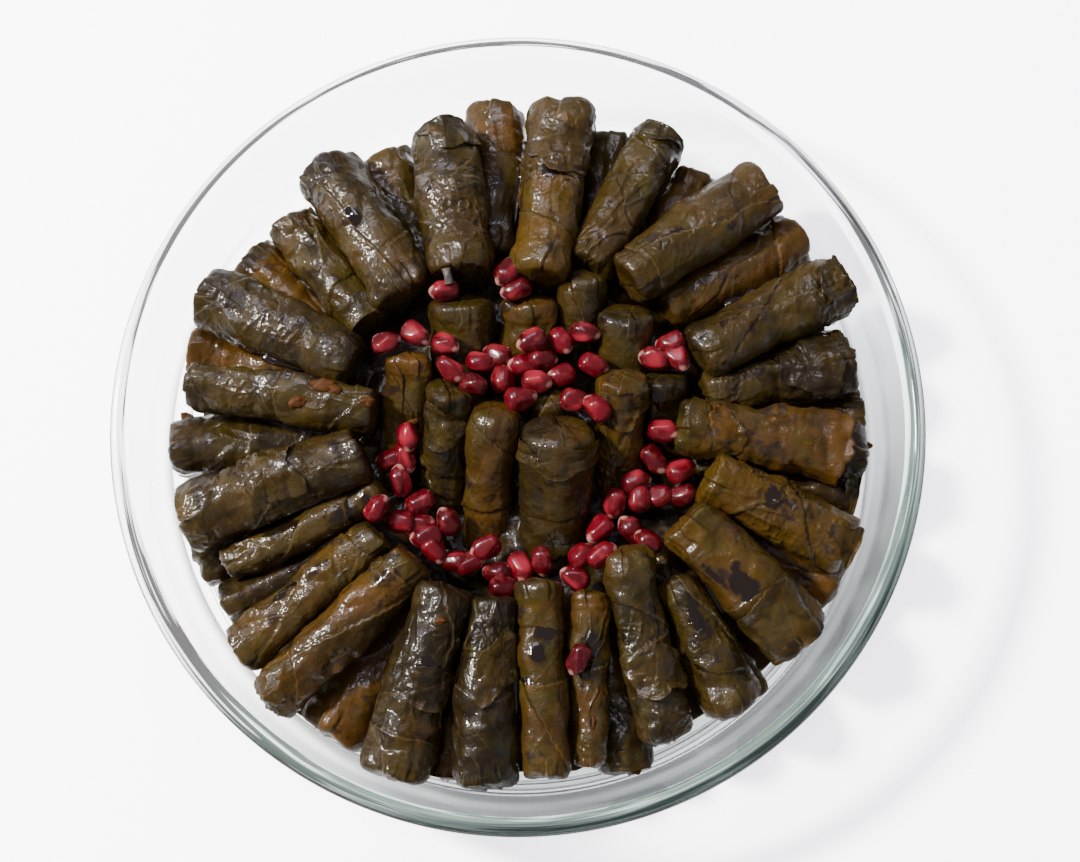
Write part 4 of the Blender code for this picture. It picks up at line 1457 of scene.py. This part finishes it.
# %% [markdown]
# Where light goes a long way through clear glass, as in the bead of the rim, the glass
# shows its own grey-green. The tint is painted by place: a dark band round the bead,
# wider towards the front and the right, with paler streaks drawn out round it, and a
# thin line at the outermost edge. Towards the right the wider band is partly painted
# shade. So it stays where it was painted, whichever way the dish is seen.

# %% The green band in the bead
BEAD_STARTS, BEAD_FULL = 0.0478, 0.0488
BAND_LINE_BACK, BAND_LINE_FRONT = 0.1466, 0.1450
LEAST_HALF_BAND = 0.0010
FRONT_HALF_BAND, RIGHT_HALF_BAND, NEAR_HALF_BAND = 0.0008, 0.0006, 0.0032


def band_half_width(finish, shares, front, right):
    """The least half width, plus what the front, the right and the nearest part add."""
    nearest = finish.slope(shares["Y"], -0.14, -0.02, 1, 0)
    nearest, front = finish.times(nearest, NEAR_HALF_BAND), finish.times(front, FRONT_HALF_BAND)
    # Wider at the right partly as painted shade.
    rest = finish.maths("ADD", finish.times(right, RIGHT_HALF_BAND), LEAST_HALF_BAND)
    return finish.maths("ADD", finish.maths("ADD", nearest, front), rest)


def bead_streaks(finish, across):
    """Noise that changes slowly round the bead and quickly across it."""
    round_it = finish.add("VectorMath", {0: finish.object_places, 1: (18, 18, 0)}, operation="MULTIPLY")
    across_it = finish.add("CombineXYZ", {"Z": finish.times(across, 900)})
    both = finish.add("VectorMath", {0: round_it.outputs[0], 1: across_it.outputs[0]}, operation="ADD")
    return finish.add("TexNoise", {"Vector": both.outputs[0], "Scale": 1.0, "Detail": 2.0}).outputs["Fac"]


def green_band(finish, shares, across, front, right):
    """1 where the distance from the band's middle line is less than its half width,
    less where a paler streak runs, and the line at the outer edge where that is more."""
    half = band_half_width(finish, shares, front, right)
    middle = finish.mix_number(front, BAND_LINE_BACK, BAND_LINE_FRONT)
    away = finish.maths("ABSOLUTE", finish.maths("SUBTRACT", across, middle))
    band = finish.slope(finish.maths("DIVIDE", away, half), 0.80, 1.10, 1, 0)
    band = finish.times(band, finish.slope(shares["Z"], BEAD_STARTS, BEAD_FULL))
    streaked = finish.times(band, finish.slope(bead_streaks(finish, across), 0.50, 0.64, 1, 0.62))
    return finish.maths("MAXIMUM", streaked, finish.slope(across, 0.1490, 0.1497, 0, 0.88))


print("the band starts", BEAD_STARTS / MM, "mm over the foot of the dish")

# %% [markdown]
# The rest of the glass takes its tint by place too: darker and greener at the front and
# the right, partly the glass's own green and partly painted shade on the side away from
# the lamps, and greyer where a wall is seen along its face. Light on its way to a lamp
# passes straight through, as it seldom finds a lamp through two bent surfaces. The
# walls let most of what is behind them be seen straight through as well, and only
# the rest bends light as thick glass does. The bead bends nearly all, the foot all.

# %% Clear glass
TOWARDS_FRONT_RIGHT = (0.55, -0.83, 0)
THICK_CLEAR, THICK_GREEN = (0.0016, 0.0015, 0.0015), (0.0058, 0.0116, 0.0080)
# At the front and the right the wall's shade, the bead's green and the foot's grey are painted shade, the
# bead's partly the glass's own green too.
WALL_FACING, WALL_ALONG, WALL_SHADE = (0.90, 0.91, 0.905), (0.72, 0.74, 0.735), (0.20, 0.214, 0.209)
BEAD_CLEAR, BEAD_GREEN_AND_SHADE = (0.90, 0.92, 0.91), (0.24, 0.37, 0.30)
FOOT_CLEAR, FOOT_PAINTED_SHADE = (0.96, 0.965, 0.962), (0.62, 0.64, 0.635)


def glass_tint(finish, height, corner, facing, band):
    """From the foot's tint to the wall's to the bead's by height, then the band's. Towards
    the front and the right all go darker and greener, partly as painted shade.
    """
    # Towards the front and the right: greener glass, and painted shade.
    green_and_shade = finish.slope(corner, 0.0, 0.12)
    wall = finish.mix(finish.slope(facing, 0.70, 0.98), WALL_FACING, WALL_ALONG)
    # The wall's painted shade at the front and the right, where it is seen along its face.
    shade = finish.times(finish.slope(corner, -0.02, 0.13), finish.slope(facing, 0.45, 0.72))
    wall = finish.mix(shade, wall, WALL_SHADE)
    bead = finish.mix(green_and_shade, BEAD_CLEAR, BEAD_GREEN_AND_SHADE)
    tint = finish.mix(finish.slope(height, BEAD_STARTS, BEAD_FULL), wall, bead)
    tint = finish.mix(finish.slope(height, 0.003, 0.009), finish.mix(green_and_shade, FOOT_CLEAR, FOOT_PAINTED_SHADE), tint)
    return finish.mix(band, tint, finish.mix(green_and_shade, THICK_CLEAR, THICK_GREEN))


def seen_plainly(finish, height, facing, band):
    """The share of a wall that bends nothing: most of it, little in the bead, none in
    the foot and the green band. A ray on its way to a lamp bends nowhere."""
    plainly = finish.slope(facing, 0.3, 0.8, 0.95, 0.84)
    to_bead = finish.slope(height, BEAD_STARTS, BEAD_FULL, 1, 0.08)
    wall = finish.times(finish.slope(height, 0.003, 0.010), to_bead, plainly)
    wall = finish.times(wall, finish.maths("SUBTRACT", 1.0, band))
    return finish.maths("MAXIMUM", finish.add("LightPath").outputs["Is Shadow Ray"], wall)


def glass_finish():
    """Glass that bends light, mixed with glass that only tints it."""
    finish = Finish("clear_glass", roughness=0.0, ior=1.5, transmission_weight=1.0)
    places = finish.object_places
    shares = finish.add("SeparateXYZ", {"Vector": places}).outputs
    level = finish.add("VectorMath", {0: places, 1: (1, 1, 0)}, operation="MULTIPLY").outputs[0]
    across = finish.add("VectorMath", {0: level}, operation="LENGTH").outputs["Value"]
    corner = finish.add("VectorMath", {0: places, 1: TOWARDS_FRONT_RIGHT}, operation="DOT_PRODUCT")
    facing = finish.add("LayerWeight", {"Blend": 0.5}).outputs["Facing"]
    front, right = finish.slope(shares["Y"], -0.125, 0.135, 1, 0), finish.slope(shares["X"], -0.05, 0.13)
    band = green_band(finish, shares, across, front, right)
    tint = glass_tint(finish, shares["Z"], corner.outputs["Value"], facing, band)
    finish.set("Base Color", tint)
    clear = finish.add("BsdfTransparent", {"Color": tint}).outputs[0]
    plainly = seen_plainly(finish, shares["Z"], facing, band)
    both = finish.add("MixShader", {0: plainly, 1: finish.shader.outputs[0], 2: clear})
    finish.wire(finish.tree.nodes["Material Output"].inputs["Surface"], both.outputs[0])
    return finish.material


serve(dish, glass_finish(), "glass", "glass_dish")
print("nodes in the glass finish:", len(dish.data.materials[0].node_tree.nodes))

# %% [markdown]
# Syrup and juice have run down between the rolls and stand on the floor of the dish.
# The pool is a thin disc with an uneven rim, rounded where it meets the glass.

# %% The pool under the rolls
POOL_RADIUS = 121
POOL_DEPTH = 1.6
POOL_BOTTOM, POOL_EDGE = 5.03, 5.05
POOL_COLUMNS, POOL_ROWS = 360, 24


def pool():
    """A disc whose rim swings with noise. Its height falls off as a quarter ellipse
    does, like the edge of a drop, and its underside is a little narrower."""
    angle = np.arange(POOL_COLUMNS) * 2 * np.pi / POOL_COLUMNS
    rim = np.stack([np.cos(angle), np.sin(angle), np.zeros(POOL_COLUMNS)], axis=-1)
    reach = POOL_RADIUS * (1 + 0.035 * layered_noise(rim * 5, 71, 3))
    share = np.sin(np.linspace(0, np.pi / 2, POOL_ROWS + 1))[1:, None]
    flat = rim[:, :2] * reach[:, None]
    heights = POOL_EDGE + POOL_DEPTH * np.sqrt(1 - share**2 * 0.999) * np.ones(POOL_COLUMNS)
    top = np.concatenate([share[..., None] * flat, heights[..., None]], axis=-1)
    under = np.concatenate([flat * 0.995, np.full((POOL_COLUMNS, 1), POOL_BOTTOM)], axis=-1)
    middles = np.array([[0, 0, POOL_EDGE + POOL_DEPTH], [0, 0, POOL_BOTTOM]])
    points = np.concatenate([middles[:1], top.reshape(-1, 3), under, middles[1:]])
    return shell("syrup_pool", points, *tube_faces(POOL_ROWS + 1, POOL_COLUMNS))


serve(pool(), syrup.material, "leaf_dark")
print("the pool reaches about", POOL_RADIUS, "mm from its middle")

# %% [markdown]
# The floor is plain and pale. For the camera, and for what is seen through glass, it
# glows and its colour is brighter than any real one, so that it comes out nearly white.
# All other light meets a plain pale floor, which sends less up onto the dark food. The
# sky is bright where the camera sees it, and dim as a light.

# %% Floor and sky
FLOOR_HALF = 3000
FLOOR_BELOW = 0.3
FLOOR_GLOW = 1.8
FLOOR_BRIGHT = (4.4, 4.4, 4.5)
SKY_LIGHT = 0.34
SKY_SEEN = 4.0


def lay_floor():
    """One square just below the foot, whose look depends on which ray meets it."""
    corners = np.array([(-1, -1, 0), (1, -1, 0), (1, 1, 0), (-1, 1, 0)], float) * FLOOR_HALF
    square = np.array([[0, 1, 2, 3]])
    floor = shell("floor", corners + [0, 0, -FLOOR_BELOW], square, np.zeros((0, 3), int))
    finish = Finish("pale_floor", roughness=0.65, emission_color=(0.98, 0.98, 1.0, 1))
    path = finish.add("LightPath").outputs
    seen = finish.maths("MAXIMUM", path["Is Camera Ray"], path["Is Transmission Ray"])
    finish.set("Emission Strength", finish.times(seen, FLOOR_GLOW))
    plain = finish.mix(finish.noise(300, 2), (0.80, 0.80, 0.81), (0.83, 0.83, 0.84))
    finish.set("Base Color", finish.mix(seen, plain, FLOOR_BRIGHT))
    floor.data.materials.append(finish.material)


def light_sky():
    """One colour all over, whose strength is a range by whether the camera sees it."""
    world = bpy.context.scene.world or bpy.data.worlds.new("sky")
    bpy.context.scene.world = world
    world.use_nodes = True
    tree = world.node_tree
    sky = tree.nodes["Background"]
    sky.inputs["Color"].default_value = (0.90, 0.89, 1.0, 1)
    ray = tree.nodes.new("ShaderNodeLightPath")
    strength = tree.nodes.new("ShaderNodeMapRange")
    strength.inputs["To Min"].default_value = SKY_LIGHT
    strength.inputs["To Max"].default_value = SKY_SEEN
    tree.links.new(ray.outputs["Is Camera Ray"], strength.inputs["Value"])
    tree.links.new(strength.outputs["Result"], sky.inputs["Strength"])


lay_floor()
light_sky()
print("the sky lights with a share of", SKY_LIGHT / SKY_SEEN, "of what the camera sees")

# %% [markdown]
# One small strong lamp to the left and a little behind gives the sharp highlights on
# wet leaves. A wide bluish one high at the back gives the broad soft ones. The camera
# looks down from almost straight above, a little from the front.

# %% Lamps and camera
LENS = 65.57
LEANS_BACK = 11.43


def lamp(name, place, aim, size, watts, colour):
    """A square area lamp turned so that it shines at a place."""
    data = bpy.data.lights.new(name, "AREA")
    data.size, data.energy, data.color = size, watts, colour
    light = bpy.data.objects.new(name, data)
    light.location = place
    light.rotation_euler = (Vector(aim) - Vector(place)).to_track_quat("-Z", "Y").to_euler()
    bpy.context.scene.collection.objects.link(light)


def camera():
    """Its place in metres, and its lean from looking straight down."""
    data = bpy.data.cameras.new("camera")
    data.sensor_width, data.lens = 36, LENS
    data.clip_start = 0.02
    seen = bpy.data.objects.new("camera", data)
    seen.location = (0.0081, -0.1470, 0.7607)
    seen.rotation_euler = (math.radians(LEANS_BACK), 0, 0)
    bpy.context.scene.collection.objects.link(seen)
    bpy.context.scene.camera = seen


lamp("window", (-1.50, 0.45, 1.60), (0, 0, 0.03), 0.26, 70, (1.0, 0.975, 0.945))
lamp("bright_sky", (-0.35, 1.00, 1.80), (0, 0, 0.03), 1.0, 15, (0.86, 0.84, 1.0))
camera()
